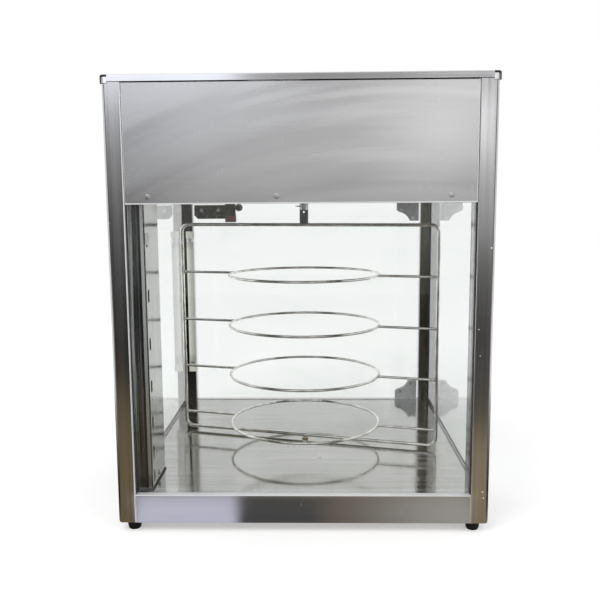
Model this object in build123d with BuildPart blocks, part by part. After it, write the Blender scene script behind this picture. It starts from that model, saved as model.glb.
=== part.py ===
from build123d import *
import os
from math import cos, radians, sin

# A counter-top pizza warmer: a glazed steel cabinet on four feet, with a turning wire rack of
# four rings, a hinged rear glass door, and the drive, heater, fan and controls in its header.
# Millimetres, +Z up, the front faces -Y, the origin is at the bottom centre of the whole.

os.makedirs("parts", exist_ok=True)

# Overall size
WIDTH = 572.0            # over the corner posts
DEPTH = 620.0            # over the corner posts
FOOT_H = 15.0            # underside of the cabinet above the table
TOP_Z = 691.0            # top of the trim rails
TOP_LIP = 2.2            # trim rails stand this far proud of the posts
KNOB_REACH = 22.0        # thermostat knob stands this far behind the rear posts

HALF = WIDTH / 2
FRONT = -(DEPTH + KNOB_REACH - TOP_LIP) / 2
REAR = FRONT + DEPTH
SHEET = 1.2              # folded steel sheet
PLATE = 1.5              # heavier folded sheet of the rails
GAP = 0.2                # assembly gap between fixed pieces
HAIR = 0.1               # the least gap, between pieces that are drawn together
NOTCH_GAP = 0.3          # sheets stand this far clear of the posts
SCREW_HOLE_R = 2.1

# Corner posts
POST_W = 27.2
JAMB = 50.0              # depth of a front post
REAR_POST = 27.0         # depth of a rear post
POST_TOP = 680.6
POST_WALL = 2.0
POST_FACE = 3.0          # front wall of a post
POST_BASE = 3.0          # plate in its bottom end, for the foot's screw
POST_R = 5.5
POST_EDGE_R = 1.2        # inner front edge of a front post
TOE_R = 4.5              # bottom outer corner of a post, seen from the front
OPEN_HALF = HALF - POST_W
RAIL_HALF = OPEN_HALF - GAP

# Base, floor and header levels
RAIL_TOP = 59.4
FLOOR_Z = 48.6           # top of the floor pan
SIDE_RAIL_TOP = 55.0
RAIL_LIP = 11.0          # the front rail's top, from front to back
RAIL_FLANGE = 22.0       # the rails' bottom flanges
SIDE_FLANGE = 24.0
SILL_Z = FLOOR_Z - PLATE - GAP
SILL_D = 26.0
TRACK_Z = 39.0           # bottom of the track that holds a side pane
TRACK_D = 2.0            # how far inside the pane its inner wall stands
TRAY_D = 10.0            # depth of the folded header panels
CEILING_Z = 506.6        # underside of the ceiling panel
FASCIA_Z0 = 505.3
FASCIA_Z1 = 680.2
TRIM_Z0 = 681.2
CAP_W = 11.3
CAP_R = POST_R + 1
CAP_TOP_R = 2.4
SKIRT_Z = 678.8          # bottom of the corner caps' skirts

# Glass
PANE = 4.0
SIDE_PANE_X = 280.0      # inner face of a side pane
FRONT_PANE_D = 12.0      # front pane behind the front plane
GROOVE = 6.0
GROOVE_D = 8.0
PANE_TOP = 514.0
PANE_PLAY = 1.0          # room beside a pane in its groove

# Rear door, which turns on two pins at its right edge
DOOR_HALF = 255.5
DOOR_T = 6.0
DOOR_Y = REAR - 13.0     # middle of the glass
DOOR_Z0 = 51.8
DOOR_Z1 = 503.4
HINGE_X = 244.0
HINGE_PIN_R = 3.0
BUSH_R = 5.0
BUSH_HOLE_R = 5.2
BOLT_HOLE_R = 2.6        # in the glass
BOLT_R = 2.0
GUSSET_T = 1.5

# Turning rack
RACK_Y = (FRONT + REAR) / 2
RACK_TURN = -15.1        # degrees, as it stands at rest
RACK_HALF = 251.8
FRAME_R = 3.25           # radius of the frame rod
BEND_R = 14.0
RING_R = 142.1
WIRE_R = 2.5
ARM_R = 2.4              # radius of the arms that carry a ring
TOP_ROD_Z = 464.9
BOTTOM_ROD_Z = 56.4
RING_COUNT = 4
RING_Z0 = 86.2
RING_PITCH = 95.1
BAR_W = 16.0
BAR_T = 3.0
BAR_TOP = 511.0
CLIP_Z = 499.6
CLIP_R = 1.1             # radius of the spring clip's wire
CLIP_HOLE_R = 1.4
BAR_HOLE_Z = 488.7
BAR_HOLE_R = 2.0
SEAT = 0.02              # play where one rod is welded into another
PIVOT_R = 2.5

# Hot air duct behind the left front post
DUCT_X = -241.5
DUCT_BACK = -SIDE_PANE_X + 2.4
DUCT_Y0 = FRONT + JAMB + 0.4
DUCT_Y1 = DUCT_Y0 + 95.6
DUCT_FOLD = 9.0          # returns along its open side
DUCT_SCREW_Y = DUCT_Y0 + 50
DUCT_SCREW_Z = 60.0
SLOT_COUNT = 7
SLOT_TOP_Z = 448.8
SLOT_STEP = 86.6         # first spacing, which shrinks towards the floor
SLOT_SHRINK = 9.2
SLOT_W = 10.0
SLOT_H = 19.0
SLOT_Y0 = DUCT_Y0 + 8    # front ends of the slots

# Gearmotor above the ceiling
MODULE = 1.5
GEAR_TEETH = 48
PINION_TEETH = 12
GEAR_PITCH_R = MODULE * GEAR_TEETH / 2
PINION_PITCH_R = MODULE * PINION_TEETH / 2
MOTOR_X = GEAR_PITCH_R + PINION_PITCH_R
SHAFT_R = 6.0
COUPLING_R = 8.0
COUPLING_Z0 = CLIP_Z - 6.6
COUPLING_Z1 = 516.0
SHAFT_BUSH_R = 9.0
MOTOR_SHAFT_R = 3.0
FIT = 0.05               # radial running clearance
DRIVE_Z = 522.0          # top of the bracket's table
GEAR_Z = 535.0
GEAR_T = 10.0
CASE_X = (-44.0, 62.0)
CASE_HALF = 45.0         # from the shaft to the case's front and back
CASE_R = 6.0
CASE_WALL = 3.5
CASE_FLOOR = 4.0
CASE_Z0 = DRIVE_Z + HAIR
CASE_TOP = GEAR_Z + GEAR_T + 9.0
COVER_Z = CASE_TOP + HAIR
COVER_T = 3.0
STANDOFF = 8.0           # the motor above the gearbox's cover
STATOR_Z = COVER_Z + STANDOFF + HAIR
STATOR_H = 22.0
STATOR_BORE_R = 13.2
ROTOR_R = 12.6

# Fan and heater above the ceiling
FAN_X = -62.0
FAN_Z = 563.0
FAN_R = 50.0
FAN_Y0 = FRONT + 70.0
FAN_DEPTH = 56.0
OUTLET_X = -125.8
OUTLET_Z0 = 513.0
OUTLET_Z1 = 553.0
WHEEL_R = 42.0
FAN_SHAFT_R = 3.0
WHEEL_GAP = 6.0          # the wheel's ends inside the housing
INLET_R = 30.0
FAN_FOOT = 30.0          # half the width of the housing's foot

# Controls on the rear panel
PANEL_Y = REAR - 0.6
KNOB_X = 150.0
CONTROL_Z = 600.0
ROCKER_X = (40.0, 84.0)
ROCKER_TILT = 7.0        # degrees from the middle to either side
PILOT_X = 112.0
PILOT_R = 4.0
KNOB_R = 20.0
GRIP_R = 16.0
SPINDLE_R = 3.0
ROCKER_Y = PANEL_Y - 2.5
ROCKER_HALF = 11.6
ROCKER_W = 12.4
TERMINAL_LEG = 36.0      # the switches' terminals end this far inside the panel
GLAND_X = -205.0
GLAND_Z = 560.0
GLAND_BORE_R = 4.2
GLAND_NUT_R = 12.0

# Lamp in front of the left rear post
LAMP_X = -263.0
LAMP_Y = FRONT + 582.0
LAMP_Z0 = 127.0
LAMP_Z1 = 437.0
LAMP_R = 8.0
LAMP_END = 10.0          # from the end of its pins to the glass
LAMP_PIN_GAP = 5.0

FOOT_X = 264.8
FOOT_FRONT = FRONT + 16.5
FOOT_REAR = REAR - 12.0
FOOT_TAP_R = 2.4         # hole for the foot's screw
FOOT_WELL_R = 5.0        # recess for its head
FOOT_WELL_Z = 7.0
HEAD_R = 3.9             # screw heads
HEAD_H = 2.2


def save(part, name):
    """Labels a finished piece and writes it to its own file."""
    part.label = name
    export_step(part, f"parts/{name}.step")


def block(x0, x1, y0, y1, z0, z1, mode=Mode.ADD):
    """A rectangular block between two corners."""
    with Locations(((x0 + x1) / 2, (y0 + y1) / 2, (z0 + z1) / 2)):
        return Box(abs(x1 - x0), abs(y1 - y0), abs(z1 - z0), mode=mode)


def flat(x0, x1, y0, y1, mode=Mode.ADD):
    """A rectangle of a section between two corners."""
    with Locations(((x0 + x1) / 2, (y0 + y1) / 2)):
        return Rectangle(abs(x1 - x0), abs(y1 - y0), mode=mode)


def rod_y(x, z, y0, y1, radius, mode=Mode.ADD):
    """A round rod or hole along Y."""
    with Locations((x, (y0 + y1) / 2, z)):
        return Cylinder(radius, abs(y1 - y0), rotation=(90, 0, 0), mode=mode)


def rod_z(x, y, z0, z1, radius, mode=Mode.ADD):
    """A round rod or hole along Z."""
    with Locations((x, y, (z0 + z1) / 2)):
        return Cylinder(radius, z1 - z0, mode=mode)


def rod_x(y, z, x0, x1, radius, mode=Mode.ADD):
    """A round rod or hole along X."""
    with Locations(((x0 + x1) / 2, y, z)):
        return Cylinder(radius, abs(x1 - x0), rotation=(0, 90, 0), mode=mode)


# Cabinet frame

def round_toe(side, y0, y1):
    """Rounds a post's bottom outer corner from front to back."""
    with BuildSketch(Plane.XZ.offset(-y1)) as toe:
        flat(side * (HALF - TOE_R), side * (HALF + 1), FOOT_H - 1, FOOT_H + TOE_R)
        with Locations((side * (HALF - TOE_R), FOOT_H + TOE_R)):
            Circle(TOE_R, mode=Mode.SUBTRACT)
    extrude(toe.sketch, amount=y1 - y0, mode=Mode.SUBTRACT)


def front_post(side):
    """A folded corner section with a groove for each pane, rounded on its outer corner."""
    with BuildPart() as post:
        with BuildSketch(Plane.XY.offset(FOOT_H)) as section:
            flat(side * OPEN_HALF, side * HALF, FRONT, FRONT + JAMB)
            corner = section.vertices().sort_by_distance((side * HALF, FRONT, 0))[0]
            fillet(corner, POST_R)
            edge = section.vertices().sort_by_distance((side * OPEN_HALF, FRONT, 0))[0]
            fillet(edge, POST_EDGE_R)
            inner = side * (OPEN_HALF + POST_WALL)
            outer = side * (HALF - POST_WALL)
            behind = FRONT + FRONT_PANE_D + PANE + PANE_PLAY
            flat(inner + side * GROOVE_D, outer, FRONT + POST_FACE, behind, mode=Mode.SUBTRACT)
            flat(inner, outer, behind + POST_WALL, FRONT + JAMB - GROOVE_D - POST_WALL,
                 mode=Mode.SUBTRACT)
            flat(side * OPEN_HALF, side * (OPEN_HALF + GROOVE_D), behind - GROOVE, behind,
                 mode=Mode.SUBTRACT)
            flat(side * (SIDE_PANE_X - PANE_PLAY), side * (SIDE_PANE_X + GROOVE - PANE_PLAY),
                 FRONT + JAMB - GROOVE_D, FRONT + JAMB, mode=Mode.SUBTRACT)
        extrude(amount=POST_TOP - FOOT_H)
        block(side * (OPEN_HALF + 1), outer, FRONT + POST_FACE, FRONT + JAMB - GROOVE_D, FOOT_H,
              FOOT_H + POST_BASE)
        rod_z(side * FOOT_X, FOOT_FRONT, FOOT_H - 1, FOOT_H + POST_BASE + 1, SCREW_HOLE_R,
              mode=Mode.SUBTRACT)
        round_toe(side, FRONT - 1, FRONT + JAMB + 1)
    return post.part


def rear_post(side):
    """A square post with one groove, for the back edge of the side pane."""
    face = REAR - REAR_POST
    with BuildPart() as post:
        with BuildSketch(Plane.XY.offset(FOOT_H)) as section:
            flat(side * OPEN_HALF, side * HALF, face, REAR)
            corner = section.vertices().sort_by_distance((side * HALF, REAR, 0))[0]
            fillet(corner, POST_R)
            flat(side * (OPEN_HALF + POST_WALL), side * (HALF - POST_WALL),
                 face + GROOVE_D + POST_WALL, REAR - POST_FACE, mode=Mode.SUBTRACT)
            flat(side * (SIDE_PANE_X - PANE_PLAY), side * (SIDE_PANE_X + GROOVE - PANE_PLAY),
                 face, face + GROOVE_D, mode=Mode.SUBTRACT)
        extrude(amount=POST_TOP - FOOT_H)
        block(side * (OPEN_HALF + 1), side * (HALF - 1), face + GROOVE_D, REAR - POST_WALL, FOOT_H,
              FOOT_H + POST_BASE)
        rod_z(side * FOOT_X, FOOT_REAR, FOOT_H - 1, FOOT_H + POST_BASE + 1, SCREW_HOLE_R,
              mode=Mode.SUBTRACT)
        round_toe(side, face - 1, REAR + 1)
    return post.part


def notched_sheet(z0, z1, half, y0, y1, notch_half, notch_y0, notch_y1):
    """A flat sheet whose four corners are cut away around the posts."""
    block(-half, half, y0, y1, z0, z1)
    for side in (-1, 1):
        block(side * notch_half, side * (half + 1), y0 - 1, notch_y0, z0, z1, mode=Mode.SUBTRACT)
        block(side * notch_half, side * (half + 1), notch_y1, y1 + 1, z0, z1, mode=Mode.SUBTRACT)


def pair(maker, name):
    """A left and a right piece of one kind, kept together as two solids."""
    with BuildPart() as both:
        add(maker(-1))
        add(maker(1))
    save(both.part, name)


save(front_post(-1), "front_left_post")
save(front_post(1), "front_right_post")
pair(rear_post, "rear_posts")

# The front base rail is a channel whose top lip turns down in front of the pane.
CREASE_TOP = RAIL_TOP - 3.3      # a fine crease below the rail's top edge
CREASE_H = 0.6
CREASE_D = 0.35
with BuildPart() as base_rail_front:
    with BuildSketch(Plane.YZ.offset(-RAIL_HALF)):
        flat(FRONT, FRONT + PLATE, FOOT_H, RAIL_TOP)
        flat(FRONT, FRONT + RAIL_LIP, RAIL_TOP - PLATE, RAIL_TOP)
        flat(FRONT + RAIL_LIP - PLATE, FRONT + RAIL_LIP, FLOOR_Z + 1.0, RAIL_TOP)
        flat(FRONT, FRONT + RAIL_FLANGE, FOOT_H, FOOT_H + PLATE)
        flat(FRONT, FRONT + CREASE_D, CREASE_TOP - CREASE_H, CREASE_TOP, mode=Mode.SUBTRACT)
    extrude(amount=2 * RAIL_HALF)
    lip = base_rail_front.edges().filter_by(Axis.X).sort_by_distance((0, FRONT, RAIL_TOP))[0]
    fillet(lip, 0.9)
save(base_rail_front.part, "base_rail_front")

# The rear base rail's top flange is the door sill, level with the floor.
with BuildPart() as base_rail_rear:
    with BuildSketch(Plane.YZ.offset(-RAIL_HALF)):
        flat(REAR - PLATE, REAR, FOOT_H, SILL_Z)
        flat(REAR - SILL_D, REAR, SILL_Z - PLATE, SILL_Z)
        flat(REAR - RAIL_FLANGE, REAR, FOOT_H, FOOT_H + PLATE)
    extrude(amount=2 * RAIL_HALF)
    rod_z(HINGE_X, DOOR_Y, SILL_Z - 3, SILL_Z + 3, BUSH_HOLE_R, mode=Mode.SUBTRACT)
save(base_rail_rear.part, "base_rail_rear")


def side_rail(side):
    """A side channel that carries the bottom edge of its pane in a track."""
    y1 = REAR - REAR_POST - GAP
    with BuildPart() as rail:
        with BuildSketch(Plane.XZ.offset(-y1)):
            flat(side * (HALF - PLATE), side * HALF, FOOT_H, SIDE_RAIL_TOP)
            wall = side * (SIDE_PANE_X - TRACK_D)
            flat(wall, side * HALF, TRACK_Z, TRACK_Z + PLATE)
            flat(wall, side * (SIDE_PANE_X - 0.6), TRACK_Z, SIDE_RAIL_TOP - 2)
            flat(side * (HALF - SIDE_FLANGE), side * HALF, FOOT_H, FOOT_H + PLATE)
        extrude(amount=y1 - FRONT - JAMB - GAP)
    return rail.part


pair(side_rail, "base_side_rails")

with BuildPart() as floor_pan:
    notched_sheet(FLOOR_Z - PLATE, FLOOR_Z, SIDE_PANE_X - TRACK_D - NOTCH_GAP,
                  FRONT + RAIL_LIP + NOTCH_GAP, REAR - 8.0, OPEN_HALF - NOTCH_GAP,
                  FRONT + JAMB + NOTCH_GAP, REAR - REAR_POST - NOTCH_GAP)
    rod_z(HINGE_X, DOOR_Y, FLOOR_Z - 3, FLOOR_Z + 3, BUSH_HOLE_R, mode=Mode.SUBTRACT)
    rod_z(0, RACK_Y, FLOOR_Z - 3, FLOOR_Z + 3, PIVOT_R + HAIR, mode=Mode.SUBTRACT)
save(floor_pan.part, "floor_pan")

VENT_W = 6.0
VENT_LENGTH = 90.0
VENT_STEP = 24.0
VENT_COUNT = 12
with BuildPart() as bottom_cover:
    notched_sheet(FOOT_H + PLATE + GAP, FOOT_H + PLATE + GAP + SHEET, HALF - 4, FRONT + 3,
                  REAR - 3, OPEN_HALF - NOTCH_GAP, FRONT + JAMB + NOTCH_GAP,
                  REAR - REAR_POST - NOTCH_GAP)
    with Locations(Plane.XY.offset(FOOT_H)):
        with GridLocations(VENT_STEP, 0, VENT_COUNT, 1):
            Box(VENT_W, VENT_LENGTH, 12, mode=Mode.SUBTRACT)
save(bottom_cover.part, "bottom_cover")


def header_tray(y_face, y_back, half, z0, z1, bottom_flange):
    """A folded panel with its edges turned back, open behind."""
    inward = 1 if y_back > y_face else -1
    block(-half, half, y_face, y_back, z0, z1)
    front = faces().filter_by(Axis.Y).sort_by_distance((0, y_face, (z0 + z1) / 2))[0]
    fillet(front.edges(), 1.0)
    low = z0 + SHEET if bottom_flange else z0 - 1
    block(-half + SHEET, half - SHEET, y_face + inward * SHEET, y_back + inward, low, z1 - SHEET,
          mode=Mode.SUBTRACT)


with BuildPart() as front_fascia:
    header_tray(FRONT + 0.6, FRONT + TRAY_D, OPEN_HALF - 0.5, FASCIA_Z0, FASCIA_Z1, True)
save(front_fascia.part, "front_fascia")

SIDE_SCREWS = [(y, z) for y in (FRONT + 68, REAR - 45) for z in (536.0, 662.0)]


def side_header(side):
    """The side panel of the header, which hangs outside the top edge of its pane."""
    inner = side * (SIDE_PANE_X + PANE + 0.4)
    outer = side * (HALF - 0.4)
    with BuildPart() as panel:
        block(inner, outer, FRONT + JAMB + GAP, REAR - REAR_POST - GAP, FASCIA_Z0 - 1, FASCIA_Z1)
        block(side * (HALF - 14), outer, FRONT + JAMB + GAP, REAR - REAR_POST - GAP,
              FASCIA_Z1 - SHEET, FASCIA_Z1)
        for y, z in SIDE_SCREWS:
            rod_x(y, z, side * (HALF - 6), side * (HALF + 3), SCREW_HOLE_R, mode=Mode.SUBTRACT)
    return panel.part


pair(side_header, "side_header_panels")

PANEL_SCREWS = [(x, z) for x in (-240.0, 240.0) for z in (530.0, 660.0)]
LOUVRE_CENTRE = (-70.0, 610.0)
LOUVRE_STEP = 9.0
LOUVRE_COUNT = 8
LOUVRE_LENGTH = 120.0
LOUVRE_H = 4.0
with BuildPart() as rear_control_panel:
    header_tray(PANEL_Y, PANEL_Y - TRAY_D, OPEN_HALF - 0.5, FASCIA_Z0 + 0.6, FASCIA_Z1, False)
    block(-OPEN_HALF, OPEN_HALF, PANEL_Y - 11, PANEL_Y - SHEET, FASCIA_Z0, CEILING_Z + SHEET + 0.3,
          mode=Mode.SUBTRACT)
    for x in ROCKER_X:
        block(x - 10.2, x + 10.2, PANEL_Y - 3, PANEL_Y + 1, CONTROL_Z - 14.2, CONTROL_Z + 14.2,
              mode=Mode.SUBTRACT)
    rod_y(KNOB_X, CONTROL_Z, PANEL_Y - 3, PANEL_Y + 1, 5.0, mode=Mode.SUBTRACT)
    rod_y(PILOT_X, CONTROL_Z, PANEL_Y - 3, PANEL_Y + 1, PILOT_R + GAP, mode=Mode.SUBTRACT)
    rod_y(GLAND_X, GLAND_Z, PANEL_Y - 3, PANEL_Y + 1, 8.2, mode=Mode.SUBTRACT)
    for x, z in PANEL_SCREWS:
        rod_y(x, z, PANEL_Y - 3, PANEL_Y + 1, SCREW_HOLE_R, mode=Mode.SUBTRACT)
    with BuildSketch(Plane.XZ.offset(-PANEL_Y - 1)):
        with Locations(LOUVRE_CENTRE):
            with GridLocations(0, LOUVRE_STEP, 1, LOUVRE_COUNT):
                SlotOverall(LOUVRE_LENGTH, LOUVRE_H)
    extrude(amount=4, mode=Mode.SUBTRACT)
save(rear_control_panel.part, "rear_control_panel")

with BuildPart() as ceiling_panel:
    notched_sheet(CEILING_Z, CEILING_Z + SHEET, SIDE_PANE_X - 0.6, FRONT + 17.4, REAR - 3.6,
                  OPEN_HALF - NOTCH_GAP, FRONT + JAMB + NOTCH_GAP, REAR - REAR_POST - NOTCH_GAP)
    rod_z(0, RACK_Y, CEILING_Z - 1, CEILING_Z + 3, COUPLING_R + 4, mode=Mode.SUBTRACT)
    rod_z(HINGE_X, DOOR_Y, CEILING_Z - 1, CEILING_Z + 3, BUSH_HOLE_R, mode=Mode.SUBTRACT)
    block(-SIDE_PANE_X + 3, DUCT_X - 1.5, DUCT_Y0 + 2, DUCT_Y1 - 2, CEILING_Z - 1, CEILING_Z + 3,
          mode=Mode.SUBTRACT)
    with Locations((FAN_X, FRONT + 44, CEILING_Z)):
        with GridLocations(10, 0, 12, 1):
            Box(5, 36, 6, mode=Mode.SUBTRACT)
save(ceiling_panel.part, "ceiling_panel")


def trim_section(sign, edge):
    """The trim rail's channel section, with its back open towards the cabinet."""
    flat(edge, edge - sign * PLATE, TRIM_Z0, TOP_Z)
    flat(edge, edge - sign * CAP_W, TOP_Z - PLATE, TOP_Z)
    flat(edge, edge - sign * CAP_W, TRIM_Z0, TRIM_Z0 + PLATE)


TRIM_X = HALF + TOP_LIP
TRIM_R = 1.2
with BuildPart() as top_rails:
    reach = TRIM_X - CAP_W - HAIR
    for sign, edge in ((-1, FRONT - TOP_LIP), (1, REAR + TOP_LIP)):
        with BuildSketch(Plane.YZ.offset(-reach)):
            trim_section(sign, edge)
        extrude(amount=2 * reach)
    y0 = FRONT - TOP_LIP + CAP_W + HAIR
    y1 = REAR + TOP_LIP - CAP_W - HAIR
    for sign in (-1, 1):
        with BuildSketch(Plane.XZ.offset(-y1)):
            trim_section(sign, sign * TRIM_X)
        extrude(amount=y1 - y0)
    for y in (FRONT - TOP_LIP, REAR + TOP_LIP):
        fillet(top_rails.edges().filter_by(Axis.X).sort_by_distance((0, y, TOP_Z))[0], TRIM_R)
    for x in (-TRIM_X, TRIM_X):
        fillet(top_rails.edges().filter_by(Axis.Y).sort_by_distance((x, 0, TOP_Z))[0], TRIM_R)
save(top_rails.part, "top_rails")

with BuildPart() as top_corner_caps:
    with BuildSketch(Plane.XY.offset(TRIM_Z0)) as cap_plan:
        for side in (-1, 1):
            for sign, edge in ((-1, FRONT - TOP_LIP), (1, REAR + TOP_LIP)):
                flat(side * (TRIM_X - CAP_W), side * TRIM_X, edge, edge - sign * CAP_W)
        for side in (-1, 1):
            for edge in (FRONT - TOP_LIP, REAR + TOP_LIP):
                corner = cap_plan.vertices().sort_by_distance((side * TRIM_X, edge, 0))[0]
                fillet(corner, CAP_R)
    extrude(amount=TOP_Z - TRIM_Z0)
    for side in (-1, 1):
        for sign, edge in ((-1, FRONT), (1, REAR)):
            with BuildSketch(Plane.XY.offset(SKIRT_Z)) as skirt:
                flat(side * (TRIM_X - CAP_W), side * TRIM_X, edge + sign * TOP_LIP,
                     edge + sign * (TOP_LIP - CAP_W))
                corner = skirt.vertices().sort_by_distance((side * TRIM_X, edge + sign * TOP_LIP,
                                                            0))[0]
                fillet(corner, CAP_R)
                with Locations((side * (HALF - 50), edge - sign * 50)):
                    Rectangle(100.4, 100.4, mode=Mode.SUBTRACT)
            extrude(amount=TRIM_Z0 - SKIRT_Z)
    fillet(top_corner_caps.edges().filter_by(GeomType.CIRCLE).group_by(Axis.Z)[-1], CAP_TOP_R)
save(top_corner_caps.part, "top_corner_caps")

with BuildPart() as top_cover:
    notched_sheet(TOP_Z - PLATE - GAP - SHEET, TOP_Z - PLATE - GAP, HALF - 2, FRONT + 2, REAR - 2,
                  TRIM_X - CAP_W - 0.4, FRONT - TOP_LIP + CAP_W + 0.4,
                  REAR + TOP_LIP - CAP_W - 0.4)
save(top_cover.part, "top_cover")

# Fixed glazing

for side, hand in ((-1, "left"), (1, "right")):
    with BuildPart() as side_glass:
        block(side * SIDE_PANE_X, side * (SIDE_PANE_X + PANE), FRONT + JAMB - GROOVE_D + 1.2,
              REAR - REAR_POST + GROOVE_D - 1.2, 40.8, PANE_TOP)
        chamfer(side_glass.edges().filter_by(Axis.Z), 0.5)
    save(side_glass.part, f"{hand}_glass")

with BuildPart() as front_glass:
    block(-OPEN_HALF - GROOVE_D + 1.4, OPEN_HALF + GROOVE_D - 1.4, FRONT + FRONT_PANE_D,
          FRONT + FRONT_PANE_D + PANE, FLOOR_Z + 0.3, PANE_TOP)
    chamfer(front_glass.edges().filter_by(Axis.Z), 0.5)
save(front_glass.part, "front_glass")

# Each pane's upright edges sit in soft channels inside the posts' grooves. The front pane's
# channels have a lip that shows in front of the glass.
SEAL_WALL = 0.9
SEAL_IN = 2.06           # from a pane's middle to the channel's inner faces
SEAL_OUT = 2.9           # and to its outer faces
SEAL_PROUD = 1.0
with BuildPart() as glass_gaskets:
    for side in (-1, 1):
        with BuildSketch(Plane.XY.offset(FLOOR_Z + 0.3)):
            bottom = OPEN_HALF + GROOVE_D - HAIR
            mid = FRONT + FRONT_PANE_D + PANE / 2
            flat(side * (OPEN_HALF + 0.3), side * bottom, mid - SEAL_OUT, mid + SEAL_OUT)
            flat(side * OPEN_HALF, side * (bottom - SEAL_WALL), mid - SEAL_IN, mid + SEAL_IN,
                 mode=Mode.SUBTRACT)
        extrude(amount=PANE_TOP - FLOOR_Z - 0.3)
        with BuildSketch(Plane.XY.offset(RAIL_TOP + GAP)):
            lip = side * (OPEN_HALF - SEAL_PROUD)
            flat(lip, side * (OPEN_HALF + 0.4), mid - SEAL_OUT, mid - SEAL_IN)
            flat(lip, side * (OPEN_HALF - HAIR), mid - 9.0, mid - SEAL_IN)
        extrude(amount=FASCIA_Z0 - RAIL_TOP - 2 * GAP)
        with BuildSketch(Plane.XY.offset(SIDE_RAIL_TOP)):
            for mouth, way in ((FRONT + JAMB, -1), (REAR - REAR_POST, 1)):
                end = mouth + way * (GROOVE_D - HAIR)
                mid = side * (SIDE_PANE_X + PANE / 2)
                flat(mid - SEAL_OUT, mid + SEAL_OUT, mouth + way * 0.3, end)
                flat(mid - SEAL_IN, mid + SEAL_IN, mouth, end - way * SEAL_WALL,
                     mode=Mode.SUBTRACT)
        extrude(amount=PANE_TOP - SIDE_RAIL_TOP)
save(glass_gaskets.part, "glass_gaskets")

# Rear door

GUSSET_X0 = 206.0
GUSSET_H = 40.0
GUSSET_BOLTS = ((242.0, 34.0), (217.0, 15.0))   # across, and up from the door's edge
INNER_Y = DOOR_Y - DOOR_T / 2 - 0.2
OUTER_Y = DOOR_Y + DOOR_T / 2 + 0.2
CATCH_X = (-255.0, -161.0)
CATCH_Z = (470.5, 501.8)
CATCH_BOLTS = (-238.0, -200.0)
CATCH_BOLT_Z = 490.0
DOOR_KNOB = (-154.5, 495.5)

with BuildPart() as door_glass:
    block(-DOOR_HALF, DOOR_HALF, DOOR_Y - DOOR_T / 2, DOOR_Y + DOOR_T / 2, DOOR_Z0, DOOR_Z1)
    chamfer(door_glass.edges().filter_by(Axis.Z), 0.7)
    for x, up in GUSSET_BOLTS:
        rod_y(x, DOOR_Z0 + up, DOOR_Y - 9, DOOR_Y + 9, BOLT_HOLE_R, mode=Mode.SUBTRACT)
        rod_y(x, DOOR_Z1 - up, DOOR_Y - 9, DOOR_Y + 9, BOLT_HOLE_R, mode=Mode.SUBTRACT)
    for x in CATCH_BOLTS:
        rod_y(x, CATCH_BOLT_Z, DOOR_Y - 9, DOOR_Y + 9, BOLT_HOLE_R, mode=Mode.SUBTRACT)
    rod_y(DOOR_KNOB[0], DOOR_KNOB[1], DOOR_Y - 9, DOOR_Y + 9, BOLT_HOLE_R, mode=Mode.SUBTRACT)
save(door_glass.part, "door_glass")


def hinge_gusset(up):
    """Two scalloped cheeks joined by a tab past the glass, with a riveted hinge pin."""
    edge_z = DOOR_Z0 if up > 0 else DOOR_Z1
    tab_z = edge_z - up * 0.2
    with BuildPart() as gusset:
        with BuildSketch(Plane.XZ.offset(-OUTER_Y - GUSSET_T)):
            with BuildLine():
                low = tab_z - up * GUSSET_T
                high = edge_z + up * GUSSET_H
                mid = edge_z + up * 20.0
                Line((GUSSET_X0, low), (DOOR_HALF, low))
                Line((DOOR_HALF, low), (DOOR_HALF, high))
                Line((DOOR_HALF, high), (236.0, high))
                ThreePointArc((236.0, high), (227.0, edge_z + up * 27.0), (GUSSET_X0 + 6, mid))
                Line((GUSSET_X0 + 6, mid), (GUSSET_X0, mid - up * 4))
                Line((GUSSET_X0, mid - up * 4), (GUSSET_X0, low))
            make_face()
        extrude(amount=OUTER_Y - INNER_Y + 2 * GUSSET_T)
        block(GUSSET_X0 - 1, DOOR_HALF + 1, INNER_Y, OUTER_Y, tab_z, edge_z + up * 60,
              mode=Mode.SUBTRACT)
        for x, rise in GUSSET_BOLTS:
            rod_y(x, edge_z + up * rise, INNER_Y - 9, OUTER_Y + 9, BOLT_R + GAP, mode=Mode.SUBTRACT)
        tip = tab_z - up * 8.6
        rod_z(HINGE_X, DOOR_Y, min(tip, tab_z), max(tip, tab_z), HINGE_PIN_R)
    return gusset.part


pair(hinge_gusset, "hinge_gussets")

# Flanged plastic bushes for the two hinge pins, one in the sill and one in the ceiling
BUSH_Z = (40.0, 515.0)
with BuildPart() as hinge_bushes:
    rod_z(HINGE_X, DOOR_Y, BUSH_Z[0], FLOOR_Z + HAIR, BUSH_R)
    rod_z(HINGE_X, DOOR_Y, FLOOR_Z + FIT, FLOOR_Z + 1.0, BUSH_R + 2)
    rod_z(HINGE_X, DOOR_Y, CEILING_Z - HAIR, BUSH_Z[1], BUSH_R)
    rod_z(HINGE_X, DOOR_Y, CEILING_Z - 1.0, CEILING_Z - FIT, BUSH_R + 2)
    rod_z(HINGE_X, DOOR_Y, BUSH_Z[0] - 1, BUSH_Z[1] + 1, HINGE_PIN_R + FIT, mode=Mode.SUBTRACT)
save(hinge_bushes.part, "hinge_bushes")


def through_bolt(x, z, y0, y1):
    """A bolt through the glass, domed at the head end and with a nut at the other."""
    rod_y(x, z, y0, y1, BOLT_R)
    rod_y(x, z, y0 - HEAD_H, y0 - FIT, 2 * BOLT_R)
    rod_y(x, z, y1 + FIT, y1 + 2.6, 1.8 * BOLT_R)
    rod_y(x, z, y0 - HAIR, y0, 1.5 * BOLT_R)
    rod_y(x, z, y1, y1 + HAIR, 1.5 * BOLT_R)


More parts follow.
